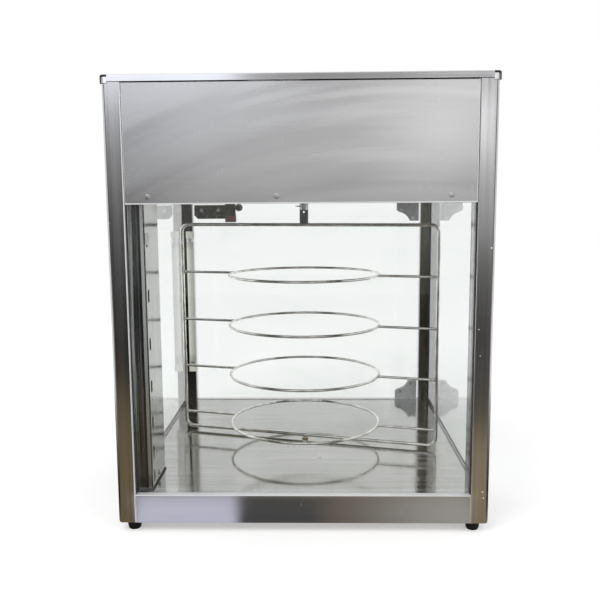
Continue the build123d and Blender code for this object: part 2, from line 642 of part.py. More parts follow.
with BuildPart() as door_screws:
    for x, rise in GUSSET_BOLTS:
        for z in (DOOR_Z0 + rise, DOOR_Z1 - rise):
            through_bolt(x, z, INNER_Y - GUSSET_T - 0.15, OUTER_Y + GUSSET_T + 0.15)
    for x in CATCH_BOLTS:
        through_bolt(x, CATCH_BOLT_Z, INNER_Y - GUSSET_T - 0.15, OUTER_Y + 0.15)
save(door_screws.part, "door_screws")

# The strike plate of the catch has one cut corner.
with BuildPart() as catch_plate:
    with BuildSketch(Plane.XZ.offset(-INNER_Y)) as plate_outline:
        flat(CATCH_X[0], CATCH_X[1], CATCH_Z[0], CATCH_Z[1])
        low_left = plate_outline.vertices().sort_by_distance((CATCH_X[0], CATCH_Z[0], 0))[0]
        chamfer(low_left, 8.0)
        fillet(plate_outline.vertices().group_by(Axis.Y)[0], 3.0)
    extrude(amount=GUSSET_T)
    for x in CATCH_BOLTS:
        rod_y(x, CATCH_BOLT_Z, INNER_Y - 9, INNER_Y + 9, BOLT_R + GAP, mode=Mode.SUBTRACT)
save(catch_plate.part, "catch_plate")

# The black pull knob is drawn through the glass by a round button on the inside.
with BuildPart() as door_knob:
    with BuildSketch(Plane.XY) as knob_half:
        with BuildLine():
            Polyline((0, OUTER_Y), (6.0, OUTER_Y), (5.0, OUTER_Y + 5), (8.5, OUTER_Y + 9),
                     (8.5, OUTER_Y + 14), (6.5, OUTER_Y + 16), (0, OUTER_Y + 16), close=True)
        make_face()
    revolve(axis=Axis.Y)
    rod_y(0, 0, INNER_Y, OUTER_Y + 1, 2.4)
    rod_y(0, 0, INNER_Y - 4, INNER_Y, 5.6)
knob_place = Location((DOOR_KNOB[0], 0, DOOR_KNOB[1]))
save(door_knob.part.moved(knob_place), "door_knob")

# A hanging strap and a brown magnet block hold the strike plate when the door is shut.
MAGNET_X = (-183.0, -159.0)
MAGNET_Z = (463.0, 477.6)
MAGNET_Y = (INNER_Y - GUSSET_T - 13.0, INNER_Y - GUSSET_T - 0.5)
with BuildPart() as catch_bracket:
    with BuildSketch(Plane.YZ.offset(MAGNET_X[0])):
        top = CEILING_Z - HAIR
        shelf = MAGNET_Z[1] + HAIR
        flat(MAGNET_Y[0] - PLATE, MAGNET_Y[0], shelf, top)
        flat(MAGNET_Y[0] - 14, MAGNET_Y[0], top - PLATE, top)
        flat(MAGNET_Y[0] - PLATE, MAGNET_Y[1] - 1, shelf, shelf + PLATE)
    extrude(amount=MAGNET_X[1] - MAGNET_X[0])
save(catch_bracket.part, "catch_bracket")

with BuildPart() as magnet_catch:
    block(MAGNET_X[0], MAGNET_X[1], MAGNET_Y[0], MAGNET_Y[1], MAGNET_Z[0], MAGNET_Z[1])
    fillet(magnet_catch.edges().filter_by(Axis.Y), 1.2)
save(magnet_catch.part, "magnet_catch")

# Interior lamp

with BuildPart() as lamp_tube:
    rod_z(LAMP_X, LAMP_Y, LAMP_Z0 + LAMP_END, LAMP_Z1 - LAMP_END, LAMP_R)
    for z0, z1 in ((LAMP_Z0 + 2, LAMP_Z0 + LAMP_END), (LAMP_Z1 - LAMP_END, LAMP_Z1 - 2)):
        with Locations((LAMP_X, LAMP_Y, 0)):
            with GridLocations(LAMP_PIN_GAP, 0, 2, 1):
                with Locations((0, 0, (z0 + z1) / 2)):
                    Cylinder(1.1, z1 - z0)
save(lamp_tube.part, "lamp_tube")

with BuildPart() as lamp_holders:
    for z0, z1 in ((LAMP_Z0 - 6, LAMP_Z0 + 9.7), (LAMP_Z1 - 9.7, LAMP_Z1 + 6)):
        block(LAMP_X - 8, LAMP_X + 8, LAMP_Y - 7, REAR - REAR_POST - 0.2, z0, z1)
        for x in (LAMP_X - LAMP_PIN_GAP / 2, LAMP_X + LAMP_PIN_GAP / 2):
            rod_z(x, LAMP_Y, LAMP_Z0 + 1.9, LAMP_Z1 - 1.9, 1.2, mode=Mode.SUBTRACT)
    fillet(lamp_holders.edges().filter_by(Axis.Z), 1.5)
save(lamp_holders.part, "lamp_holders")

# Hot air duct with its row of outlet slots

with BuildPart() as air_duct:
    with BuildSketch(Plane.XY.offset(FLOOR_Z + HAIR)) as duct_section:
        flat(DUCT_BACK, DUCT_X, DUCT_Y0, DUCT_Y1)
        flat(DUCT_BACK - 1, DUCT_X - SHEET, DUCT_Y0 + SHEET, DUCT_Y1 - SHEET, mode=Mode.SUBTRACT)
        flat(DUCT_BACK, DUCT_BACK + SHEET, DUCT_Y0, DUCT_Y0 + DUCT_FOLD)
        flat(DUCT_BACK, DUCT_BACK + SHEET, DUCT_Y1 - DUCT_FOLD, DUCT_Y1)
    extrude(amount=CEILING_Z - FLOOR_Z - 0.3)
    for y in (DUCT_Y0, DUCT_Y1):
        edge = air_duct.edges().filter_by(Axis.Z).sort_by_distance((DUCT_X, y, 280))[0]
        fillet(edge, 1.0)
    slot_z = SLOT_TOP_Z
    for index in range(SLOT_COUNT):
        block(DUCT_X - 4, DUCT_X + 4, SLOT_Y0, SLOT_Y0 + SLOT_W, slot_z - SLOT_H / 2,
              slot_z + SLOT_H / 2, mode=Mode.SUBTRACT)
        slot_z -= SLOT_STEP - SLOT_SHRINK * index
    rod_x(DUCT_SCREW_Y, DUCT_SCREW_Z, DUCT_X - 4, DUCT_X + 4, SCREW_HOLE_R, mode=Mode.SUBTRACT)
save(air_duct.part, "air_duct")

# Gearmotor

BRACKET_X = (-52.0, 74.0)
BRACKET_T = 2.0
BRACKET_FOOT = 14.0      # its feet stand this far out
BRACKET_DEPTH = 100.0
DECK_Z = CEILING_Z + SHEET + HAIR    # where the pieces above the ceiling stand
with BuildPart() as gearmotor_bracket:
    with BuildSketch(Plane.XZ.offset(-RACK_Y - BRACKET_DEPTH / 2)):
        flat(BRACKET_X[0], BRACKET_X[1], DRIVE_Z - BRACKET_T, DRIVE_Z)
        for outer, way in ((BRACKET_X[0], 1), (BRACKET_X[1], -1)):
            flat(outer, outer + way * BRACKET_T, DECK_Z, DRIVE_Z)
            flat(outer - way * BRACKET_FOOT, outer + way * BRACKET_T / 2, DECK_Z,
                 DECK_Z + BRACKET_T)
    extrude(amount=BRACKET_DEPTH)
    rod_z(0, RACK_Y, DRIVE_Z - 20, DRIVE_Z + 20, SHAFT_BUSH_R + HAIR, mode=Mode.SUBTRACT)
save(gearmotor_bracket.part, "gearmotor_bracket")

with BuildPart() as gearbox_case:
    block(CASE_X[0], CASE_X[1], RACK_Y - CASE_HALF, RACK_Y + CASE_HALF, CASE_Z0, CASE_TOP)
    fillet(gearbox_case.edges().filter_by(Axis.Z), CASE_R)
    inside = CASE_HALF - CASE_WALL
    block(CASE_X[0] + CASE_WALL, CASE_X[1] - CASE_WALL, RACK_Y - inside, RACK_Y + inside,
          CASE_Z0 + CASE_FLOOR, CASE_TOP + 1, mode=Mode.SUBTRACT)
    rod_z(0, RACK_Y, CASE_Z0 - 1, CASE_Z0 + CASE_FLOOR + 1, SHAFT_BUSH_R + HAIR,
          mode=Mode.SUBTRACT)
    rod_z(MOTOR_X, RACK_Y, CASE_Z0 + CASE_FLOOR - HAIR, GEAR_Z - 3, 2 * MOTOR_SHAFT_R)
    rod_z(MOTOR_X, RACK_Y, CASE_Z0 + 2, GEAR_Z, MOTOR_SHAFT_R + FIT, mode=Mode.SUBTRACT)
save(gearbox_case.part, "gearbox_case")

STANDOFF_R = 3.5
STANDOFF_X = 12.0        # from the motor's shaft
STANDOFF_Y = 22.0
with BuildPart() as gearbox_cover:
    block(CASE_X[0], CASE_X[1], RACK_Y - CASE_HALF, RACK_Y + CASE_HALF, COVER_Z,
          COVER_Z + COVER_T)
    fillet(gearbox_cover.edges().filter_by(Axis.Z), CASE_R)
    for x in (MOTOR_X - STANDOFF_X, MOTOR_X + STANDOFF_X):
        for y in (RACK_Y - STANDOFF_Y, RACK_Y + STANDOFF_Y):
            rod_z(x, y, COVER_Z + COVER_T - HAIR, COVER_Z + STANDOFF, STANDOFF_R)
    rod_z(0, RACK_Y, COVER_Z - 1, COVER_Z + COVER_T + 1, SHAFT_R + FIT, mode=Mode.SUBTRACT)
    rod_z(MOTOR_X, RACK_Y, COVER_Z - 1, COVER_Z + COVER_T + 1, MOTOR_SHAFT_R + FIT,
          mode=Mode.SUBTRACT)
save(gearbox_cover.part, "gearbox_cover")

STACK_X = (MOTOR_X - 30.0, MOTOR_X + 26.0)
STACK_HALF = 32.0
COIL_W = 34.0
COIL_H = 30.0
COIL_T = 14.0
with BuildPart() as motor_stator:
    block(STACK_X[0], STACK_X[1], RACK_Y - STACK_HALF, RACK_Y + STACK_HALF, STATOR_Z,
          STATOR_Z + STATOR_H)
    fillet(motor_stator.edges().filter_by(Axis.Z), 2.0)
    rod_z(MOTOR_X, RACK_Y, STATOR_Z - 1, STATOR_Z + STATOR_H + 1, STATOR_BORE_R,
          mode=Mode.SUBTRACT)
    with BuildSketch(Plane.YZ.offset(STACK_X[0] - 1)):
        with Locations((RACK_Y, STATOR_Z + STATOR_H / 2)):
            RectangleRounded(COIL_W, COIL_H, 4)
    extrude(amount=COIL_T)
save(motor_stator.part, "motor_stator")


def gear_outline(teeth, phase):
    """Straight-flanked teeth on a root circle, with a little backlash."""
    pitch_r = MODULE * teeth / 2
    root_r = pitch_r - 1.25 * MODULE
    tip_r = pitch_r + 0.9 * MODULE
    tip_half = MODULE / 3
    root_half = MODULE
    Circle(root_r)
    with PolarLocations(0, teeth, start_angle=phase):
        Polygon((root_r - 0.8, -root_half), (root_r + 0.2, FIT - root_half), (tip_r, -tip_half),
                (tip_r, tip_half), (root_r + 0.2, root_half - FIT), (root_r - 0.8, root_half),
                align=None)


with BuildPart() as motor_rotor:
    rod_z(MOTOR_X, RACK_Y, CASE_Z0 + 2.2, STATOR_Z + STATOR_H + 8, MOTOR_SHAFT_R)
    rod_z(MOTOR_X, RACK_Y, STATOR_Z + 0.5, STATOR_Z + STATOR_H - 0.5, ROTOR_R)
    with BuildSketch(Plane((MOTOR_X, RACK_Y, GEAR_Z))):
        gear_outline(PINION_TEETH, 180.0 / PINION_TEETH)
    extrude(amount=GEAR_T)
save(motor_rotor.part, "motor_rotor")

WEB_HOLE_R = 6.0
WEB_HOLE_REACH = 21.5
WEB_HOLE_COUNT = 6
with BuildPart() as drive_gear:
    with BuildSketch(Plane((0, RACK_Y, GEAR_Z))):
        gear_outline(GEAR_TEETH, 0.0)
        Circle(SHAFT_R + SEAT, mode=Mode.SUBTRACT)
        with PolarLocations(WEB_HOLE_REACH, WEB_HOLE_COUNT):
            Circle(WEB_HOLE_R, mode=Mode.SUBTRACT)
    extrude(amount=GEAR_T)
save(drive_gear.part, "drive_gear")

with BuildPart() as shaft_bush:
    rod_z(0, RACK_Y, DRIVE_Z - BRACKET_T, CASE_Z0 + 7, SHAFT_BUSH_R)
    rod_z(0, RACK_Y, DRIVE_Z - BRACKET_T - 2 - HAIR, DRIVE_Z - BRACKET_T - HAIR, SHAFT_BUSH_R + 3)
    rod_z(0, RACK_Y, DRIVE_Z - BRACKET_T - 2 * HAIR, DRIVE_Z - BRACKET_T + HAIR, SHAFT_BUSH_R)
    rod_z(0, RACK_Y, DRIVE_Z - 6, DRIVE_Z + 12, SHAFT_R + FIT, mode=Mode.SUBTRACT)
save(shaft_bush.part, "shaft_bush")

# The rack, turned as it stands at rest. Its plane's X runs across the frame.

RACK_DIR = (cos(radians(RACK_TURN)), sin(radians(RACK_TURN)), 0)
RACK_PLANE = Plane(origin=(0, RACK_Y, 0), x_dir=RACK_DIR, z_dir=(0, 0, 1))

with BuildPart(RACK_PLANE) as output_shaft:
    rod_z(0, 0, COUPLING_Z0, COUPLING_Z1, COUPLING_R)
    rod_z(0, 0, COUPLING_Z1 - HAIR, COVER_Z + COVER_T / 2, SHAFT_R)
    block(-10, 10, -BAR_T / 2 - HAIR, BAR_T / 2 + HAIR, COUPLING_Z0 - 1, BAR_TOP + 0.5,
          mode=Mode.SUBTRACT)
    rod_y(0, CLIP_Z, -10, 10, CLIP_HOLE_R, mode=Mode.SUBTRACT)
save(output_shaft.part, "output_shaft")

with BuildPart(RACK_PLANE) as hanger_bar:
    block(-BAR_W / 2, BAR_W / 2, -BAR_T / 2, BAR_T / 2, TOP_ROD_Z, BAR_TOP)
    rod_x(0, TOP_ROD_Z, -20, 20, FRAME_R + SEAT, mode=Mode.SUBTRACT)
    rod_y(0, BAR_HOLE_Z, -5, 5, BAR_HOLE_R, mode=Mode.SUBTRACT)
    rod_y(0, CLIP_Z, -5, 5, CLIP_HOLE_R, mode=Mode.SUBTRACT)
save(hanger_bar.part, "hanger_bar")

# A spring clip: one leg goes through the coupling, the other bears on its side.
with BuildPart() as hitch_pin:
    with BuildLine(RACK_PLANE.offset(CLIP_Z)):
        clip_wire = FilletPolyline((0, 12), (0, -13), (-7, -19), (-12.5, -13), (-9.6, -2), (-12, 9),
                                   radius=2.0)
    with BuildSketch(Plane(origin=clip_wire @ 0, z_dir=clip_wire % 0)):
        Circle(CLIP_R)
    sweep(path=clip_wire)
save(hitch_pin.part, "hitch_pin")

# The frame is one rod bent round and welded under the hanger bar, with a foot ring below.
with BuildPart() as rack_frame:
    upright = Plane(origin=(0, RACK_Y, 0), x_dir=RACK_DIR,
                    z_dir=(RACK_DIR[1], -RACK_DIR[0], 0))
    with BuildLine(upright):
        frame_wire = FilletPolyline((RACK_HALF, TOP_ROD_Z), (RACK_HALF, BOTTOM_ROD_Z),
                                    (-RACK_HALF, BOTTOM_ROD_Z), (-RACK_HALF, TOP_ROD_Z),
                                    radius=BEND_R, close=True)
    with BuildSketch(Plane(origin=frame_wire @ 0, z_dir=frame_wire % 0)):
        Circle(FRAME_R)
    sweep(path=frame_wire)
    with Locations((0, RACK_Y, BOTTOM_ROD_Z - FRAME_R - 1.0)):
        Cylinder(PIVOT_R + 3, 3.2)
        Cylinder(PIVOT_R + FIT, 3.2, mode=Mode.SUBTRACT)
save(rack_frame.part, "rack_frame")

for index in range(RING_COUNT):
    ring_z = RING_Z0 + index * RING_PITCH
    with BuildPart(RACK_PLANE.offset(ring_z)) as ring:
        Torus(RING_R, WIRE_R)
        for side in (-1, 1):
            rod_x(0, 0, side * RING_R, side * RACK_HALF, ARM_R)
            rod_z(side * RACK_HALF, 0, -5, 5, FRAME_R + SEAT, mode=Mode.SUBTRACT)
    save(ring.part, f"rack_ring_{index + 1}")

# The stud that centres the rack's foot on the floor
with BuildPart() as floor_pivot:
    rod_z(0, RACK_Y, FLOOR_Z - 5, BOTTOM_ROD_Z - FRAME_R - 0.5, PIVOT_R)
    rod_z(0, RACK_Y, FLOOR_Z + HAIR, FLOOR_Z + HAIR + 1, PIVOT_R + 4.5)
    rod_z(0, RACK_Y, FLOOR_Z - 5, FLOOR_Z - PLATE - HAIR, PIVOT_R + 2)
save(floor_pivot.part, "floor_pivot")

# Fan and heater

with BuildPart() as blower_housing:
    with BuildSketch(Plane.XZ.offset(-FAN_Y0 - FAN_DEPTH)):
        with Locations((FAN_X, FAN_Z)):
            Circle(FAN_R)
        flat(OUTLET_X, FAN_X, OUTLET_Z0, OUTLET_Z1)
    extrude(amount=FAN_DEPTH)
    block(FAN_X - FAN_FOOT, FAN_X + FAN_FOOT, FAN_Y0, FAN_Y0 + FAN_DEPTH, DECK_Z, DECK_Z + 2)
    for x in (FAN_X - FAN_FOOT + 2, FAN_X + FAN_FOOT - 2):
        block(x - 1, x + 1, FAN_Y0, FAN_Y0 + FAN_DEPTH, DECK_Z, FAN_Z - 40)
    with BuildSketch(Plane.XZ.offset(-FAN_Y0 - FAN_DEPTH + PLATE)):
        with Locations((FAN_X, FAN_Z)):
            Circle(FAN_R - PLATE)
        flat(OUTLET_X - 1, FAN_X, OUTLET_Z0 + PLATE, OUTLET_Z1 - PLATE)
    extrude(amount=FAN_DEPTH - 2 * PLATE, mode=Mode.SUBTRACT)
    rod_y(FAN_X, FAN_Z, FAN_Y0 - 1, FAN_Y0 + 3, INLET_R, mode=Mode.SUBTRACT)
    rod_y(FAN_X, FAN_Z, FAN_Y0 + FAN_DEPTH - 3, FAN_Y0 + FAN_DEPTH + 1, FAN_SHAFT_R + 2,
          mode=Mode.SUBTRACT)
save(blower_housing.part, "blower_housing")

RIM_T = 3.0
RIM_W = 8.0
HUB_R = 8.0
HUB_LENGTH = 12.0
BLADE_COUNT = 24
BLADE_TURN = 32.0
BLADE_W = 7.5
BLADE_T = 1.1
with BuildPart() as blower_wheel:
    wheel_y0 = FAN_Y0 + WHEEL_GAP
    wheel_y1 = FAN_Y0 + FAN_DEPTH - WHEEL_GAP
    rod_y(FAN_X, FAN_Z, wheel_y1 - 1.5, wheel_y1, WHEEL_R)
    rod_y(FAN_X, FAN_Z, wheel_y0, wheel_y0 + RIM_T, WHEEL_R)
    rod_y(FAN_X, FAN_Z, wheel_y0 - 1, wheel_y0 + RIM_T + 1, WHEEL_R - RIM_W, mode=Mode.SUBTRACT)
    rod_y(FAN_X, FAN_Z, wheel_y1 - HUB_LENGTH, wheel_y1, HUB_R)
    rod_y(FAN_X, FAN_Z, wheel_y1 - HUB_LENGTH, wheel_y1 + 30, FAN_SHAFT_R)
    with BuildSketch(Plane(origin=(FAN_X, wheel_y1, FAN_Z), x_dir=(1, 0, 0), z_dir=(0, -1, 0))):
        with PolarLocations(WHEEL_R - 4.5, BLADE_COUNT):
            with Locations(Location((0, 0, 0), (0, 0, BLADE_TURN))):
                Rectangle(BLADE_W, BLADE_T)
    extrude(amount=wheel_y1 - wheel_y0)
save(blower_wheel.part, "blower_wheel")

FAN_MOTOR_R = 31.0
FAN_MOTOR_LENGTH = 38.0
with BuildPart() as blower_motor:
    motor_y0 = FAN_Y0 + FAN_DEPTH + HAIR
    rod_y(FAN_X, FAN_Z, motor_y0, motor_y0 + FAN_MOTOR_LENGTH, FAN_MOTOR_R)
    fillet(blower_motor.edges().filter_by(GeomType.CIRCLE).sort_by(Axis.Y)[-1], 3.0)
    rod_y(FAN_X, FAN_Z, motor_y0 - 1, motor_y0 + 32, FAN_SHAFT_R + FIT, mode=Mode.SUBTRACT)
save(blower_motor.part, "blower_motor")

BOX_X = (-SIDE_PANE_X + 0.8, OUTLET_X - 0.2)
BOX_Y = (DUCT_Y0 + 1, DUCT_Y1 - 1)
BOX_Z = (DECK_Z, 556.0)
TERMINAL_X = -142.0
ELEMENT_R = 4.0
ELEMENT_Z = 532.0
ELEMENT_END_Z = 568.0
ELEMENT_BEND_X = -262.0
ELEMENT_BEND_R = 10.0
NEAR_Y = BOX_Y[0] + 26
FAR_Y = BOX_Y[1] - 26
with BuildPart() as heater_box:
    block(BOX_X[0], BOX_X[1], BOX_Y[0], BOX_Y[1], BOX_Z[0], BOX_Z[1])
    block(BOX_X[0] + SHEET, BOX_X[1] + 1, BOX_Y[0] + SHEET, BOX_Y[1] - SHEET, BOX_Z[0] + SHEET,
          BOX_Z[1] - SHEET, mode=Mode.SUBTRACT)
    block(BOX_X[0] + SHEET + 3, DUCT_X - 2, BOX_Y[0] + 4, BOX_Y[1] - 4, BOX_Z[0] - 1, BOX_Z[0] + 3,
          mode=Mode.SUBTRACT)
    for y in (NEAR_Y, FAR_Y):
        rod_z(TERMINAL_X, y, BOX_Z[1] - 3, BOX_Z[1] + 1, ELEMENT_R + 0.4, mode=Mode.SUBTRACT)
save(heater_box.part, "heater_box")

# A tubular element in one hairpin, whose ends rise through the box's roof
with BuildPart() as heater_element:
    with BuildLine():
        element_path = FilletPolyline((TERMINAL_X, NEAR_Y, ELEMENT_END_Z),
                                      (TERMINAL_X, NEAR_Y, ELEMENT_Z),
                                      (ELEMENT_BEND_X, NEAR_Y, ELEMENT_Z),
                                      (ELEMENT_BEND_X, FAR_Y, ELEMENT_Z),
                                      (TERMINAL_X, FAR_Y, ELEMENT_Z),
                                      (TERMINAL_X, FAR_Y, ELEMENT_END_Z), radius=ELEMENT_BEND_R)
    with BuildSketch(Plane(origin=element_path @ 0, z_dir=element_path % 0)):
        Circle(ELEMENT_R)
    sweep(path=element_path)
save(heater_element.part, "heater_element")

# Controls

THERMOSTAT_H = 18.0      # from its middle to its top
THERMOSTAT_D = 38.0
with BuildPart() as thermostat_body:
    block(KNOB_X - KNOB_R, KNOB_X + KNOB_R, PANEL_Y - THERMOSTAT_D, PANEL_Y - 1.4,
          CONTROL_Z - THERMOSTAT_H, CONTROL_Z + THERMOSTAT_H)
    fillet(thermostat_body.edges().filter_by(Axis.Y), 3.0)
    rod_y(KNOB_X, CONTROL_Z, PANEL_Y - 1.5, PANEL_Y - 0.2, 4.6)
    rod_y(KNOB_X, CONTROL_Z, PANEL_Y - 20, PANEL_Y + 1, SPINDLE_R + FIT, mode=Mode.SUBTRACT)
save(thermostat_body.part, "thermostat_body")

# The knob's grip is fluted, and its spindle runs into the thermostat.
GRIP_Y = PANEL_Y + 5.0
FLUTE_R = 2.4
FLUTE_COUNT = 16
with BuildPart() as thermostat_knob:
    knob_end = REAR + KNOB_REACH
    with BuildSketch(Plane(origin=(KNOB_X, PANEL_Y + 0.6, CONTROL_Z), x_dir=(1, 0, 0),
                           z_dir=(0, 1, 0))):
        Circle(KNOB_R)
    extrude(amount=4.5)
    with BuildSketch(Plane(origin=(KNOB_X, GRIP_Y, CONTROL_Z), x_dir=(1, 0, 0),
                           z_dir=(0, 1, 0))):
        Circle(GRIP_R)
        with PolarLocations(GRIP_R + 1.6, FLUTE_COUNT):
            Circle(FLUTE_R, mode=Mode.SUBTRACT)
    extrude(amount=knob_end - GRIP_Y)
    fillet(thermostat_knob.faces().sort_by(Axis.Y)[-1].edges(), 0.8)
    block(KNOB_X - 1, KNOB_X + 1, GRIP_Y, GRIP_Y + 0.6, CONTROL_Z + GRIP_R - 1,
          CONTROL_Z + KNOB_R - 1)
    rod_y(KNOB_X, CONTROL_Z, PANEL_Y - 18, PANEL_Y + 1, SPINDLE_R)
save(thermostat_knob.part, "thermostat_knob")


def rocker(x):
    """A rocker in its off position: two shallow faces that meet over the pivot."""
    tilt = radians(ROCKER_TILT)
    with BuildPart() as key:
        with BuildSketch(Plane(origin=(x - ROCKER_W / 2, ROCKER_Y, CONTROL_Z),
                               x_dir=(0, cos(tilt), -sin(tilt)), z_dir=(1, 0, 0))):
            with BuildLine():
                Polyline((-4.5, -5), (1.5, -ROCKER_HALF), (5.2, -ROCKER_HALF), (3.6, 0),
                         (5.2, ROCKER_HALF), (1.5, ROCKER_HALF), (-4.5, 5), close=True)
            make_face()
        extrude(amount=ROCKER_W)
        fillet(key.edges().filter_by(Axis.X).sort_by(Axis.Y)[-2:], 0.8)
    return key.part


save(rocker(ROCKER_X[0]), "power_rocker")
save(rocker(ROCKER_X[1]), "lamp_rocker")

with BuildPart() as switch_bodies:
    for x in ROCKER_X:
        block(x - 12.0, x + 12.0, PANEL_Y + 0.1, PANEL_Y + 2.0, CONTROL_Z - 16, CONTROL_Z + 16)
        block(x - 9.8, x + 9.8, PANEL_Y - 28, PANEL_Y + 0.2, CONTROL_Z - 13.8, CONTROL_Z + 13.8)
        block(x - 6.6, x + 6.6, PANEL_Y - 11, PANEL_Y + 3, CONTROL_Z - 12.6, CONTROL_Z + 12.6,
              mode=Mode.SUBTRACT)
        for leg in (x - 7.0, x + 7.0):
            block(leg - 0.5, leg + 0.5, PANEL_Y - TERMINAL_LEG, PANEL_Y - 28 + HAIR,
                  CONTROL_Z - 3, CONTROL_Z + 3)
save(switch_bodies.part, "switch_bodies")

with BuildPart() as indicator_lamp:
    rod_y(PILOT_X, CONTROL_Z, PANEL_Y - 22, PANEL_Y + GAP, PILOT_R)
    rod_y(PILOT_X, CONTROL_Z, PANEL_Y + HAIR, PANEL_Y + 4.5, PILOT_R + 1.6)
    fillet(indicator_lamp.edges().filter_by(GeomType.CIRCLE).sort_by(Axis.Y)[-1], 3.0)
save(indicator_lamp.part, "indicator_lamp")

with BuildPart() as cord_gland:
    with BuildSketch(Plane(origin=(GLAND_X, PANEL_Y + 0.1, GLAND_Z), x_dir=(1, 0, 0),
                           z_dir=(0, 1, 0))):
        RegularPolygon(GLAND_NUT_R, 6)
    extrude(amount=6.0)
    rod_y(GLAND_X, GLAND_Z, PANEL_Y + 5.9, PANEL_Y + 17.0, 9.6)
    fillet(cord_gland.edges().filter_by(GeomType.CIRCLE).sort_by(Axis.Y)[-1], 4.0)
    rod_y(GLAND_X, GLAND_Z, PANEL_Y - 14, PANEL_Y + 0.2, 8.0)
    with BuildSketch(Plane(origin=(GLAND_X, PANEL_Y - 6.4, GLAND_Z), x_dir=(1, 0, 0),
                           z_dir=(0, 1, 0))):
        RegularPolygon(GLAND_NUT_R, 6)
    extrude(amount=5.0)
    rod_y(GLAND_X, GLAND_Z, PANEL_Y - 15, PANEL_Y + 18, GLAND_BORE_R, mode=Mode.SUBTRACT)
save(cord_gland.part, "cord_gland")

# Feet

FOOT_PLACES = [(side * FOOT_X, y) for side in (-1, 1) for y in (FOOT_FRONT, FOOT_REAR)]
with BuildPart() as feet:
    with BuildSketch(Plane.XZ) as foot_half:
        with BuildLine():
            Polyline((FOOT_TAP_R, FOOT_H - HAIR), (FOOT_TAP_R, FOOT_WELL_Z),
                     (FOOT_WELL_R, FOOT_WELL_Z), (FOOT_WELL_R, 0), (8.0, 0), (9.6, 1.8),
                     (10.6, 6.0), (10.6, FOOT_H - HAIR), close=True)
        make_face()
    revolve(axis=Axis.Z)
foot = feet.part
with BuildPart() as feet_group:
    with Locations(*[(x, y, 0) for x, y in FOOT_PLACES]):
        add(foot)
save(feet_group.part, "feet")


def screw(x, y, z, direction, shank):
    """A pan head screw whose head faces the given way."""
    with BuildPart(Plane(origin=(x, y, z), z_dir=direction), mode=Mode.PRIVATE) as body:
        with Locations((0, 0, HEAD_H / 2)):
            Cylinder(HEAD_R, HEAD_H)
        fillet(body.edges().filter_by(GeomType.CIRCLE).sort_by(Axis((x, y, z), direction))[-1], 1.2)
        with Locations((0, 0, HAIR - shank / 2)):
            Cylinder(1.9, shank)
    return body.part


screws = []
for side in (-1, 1):
    for y, z in SIDE_SCREWS:
        screws.append(screw(side * (HALF - 0.3), y, z, (side, 0, 0), 5))
for x, z in PANEL_SCREWS:
    screws.append(screw(x, PANEL_Y + HAIR, z, (0, 1, 0), 9))
for x, y in FOOT_PLACES:
    screws.append(screw(x, y, FOOT_WELL_Z - HAIR, (0, 0, -1), 11))
screws.append(screw(DUCT_X + HAIR, DUCT_SCREW_Y, DUCT_SCREW_Z, (1, 0, 0), 7))
with BuildPart() as case_screws:
    for piece in screws:
        add(piece)
save(case_screws.part, "case_screws")
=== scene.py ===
import math

import bmesh
import bpy
from mathutils import Matrix, Vector


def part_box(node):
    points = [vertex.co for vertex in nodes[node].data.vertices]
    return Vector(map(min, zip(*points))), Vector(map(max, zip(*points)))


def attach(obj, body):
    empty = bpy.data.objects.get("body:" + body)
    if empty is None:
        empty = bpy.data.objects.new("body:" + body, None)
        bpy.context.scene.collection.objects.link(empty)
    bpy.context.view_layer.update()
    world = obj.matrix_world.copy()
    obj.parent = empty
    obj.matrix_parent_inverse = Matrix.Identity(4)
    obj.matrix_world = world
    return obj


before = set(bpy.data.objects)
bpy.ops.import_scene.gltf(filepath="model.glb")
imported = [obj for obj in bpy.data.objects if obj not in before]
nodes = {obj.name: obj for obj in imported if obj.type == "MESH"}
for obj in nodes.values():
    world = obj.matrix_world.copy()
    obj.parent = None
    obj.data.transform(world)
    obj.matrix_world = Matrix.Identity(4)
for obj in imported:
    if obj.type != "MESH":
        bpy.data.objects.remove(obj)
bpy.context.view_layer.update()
cad_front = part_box("base_rail_front")[0].y

# The camera stands where the photograph was taken from: metres, radians and millimetres.
CAMERA_AT = Vector((0.02355, -1.4027, 0.5082))
CAMERA_YAW = -0.023
CAMERA_PITCH = 0.133
CAMERA_ROLL = -0.007
CAMERA_LENS = 44.14
CAMERA_SENSOR = 36.0


# Node materials


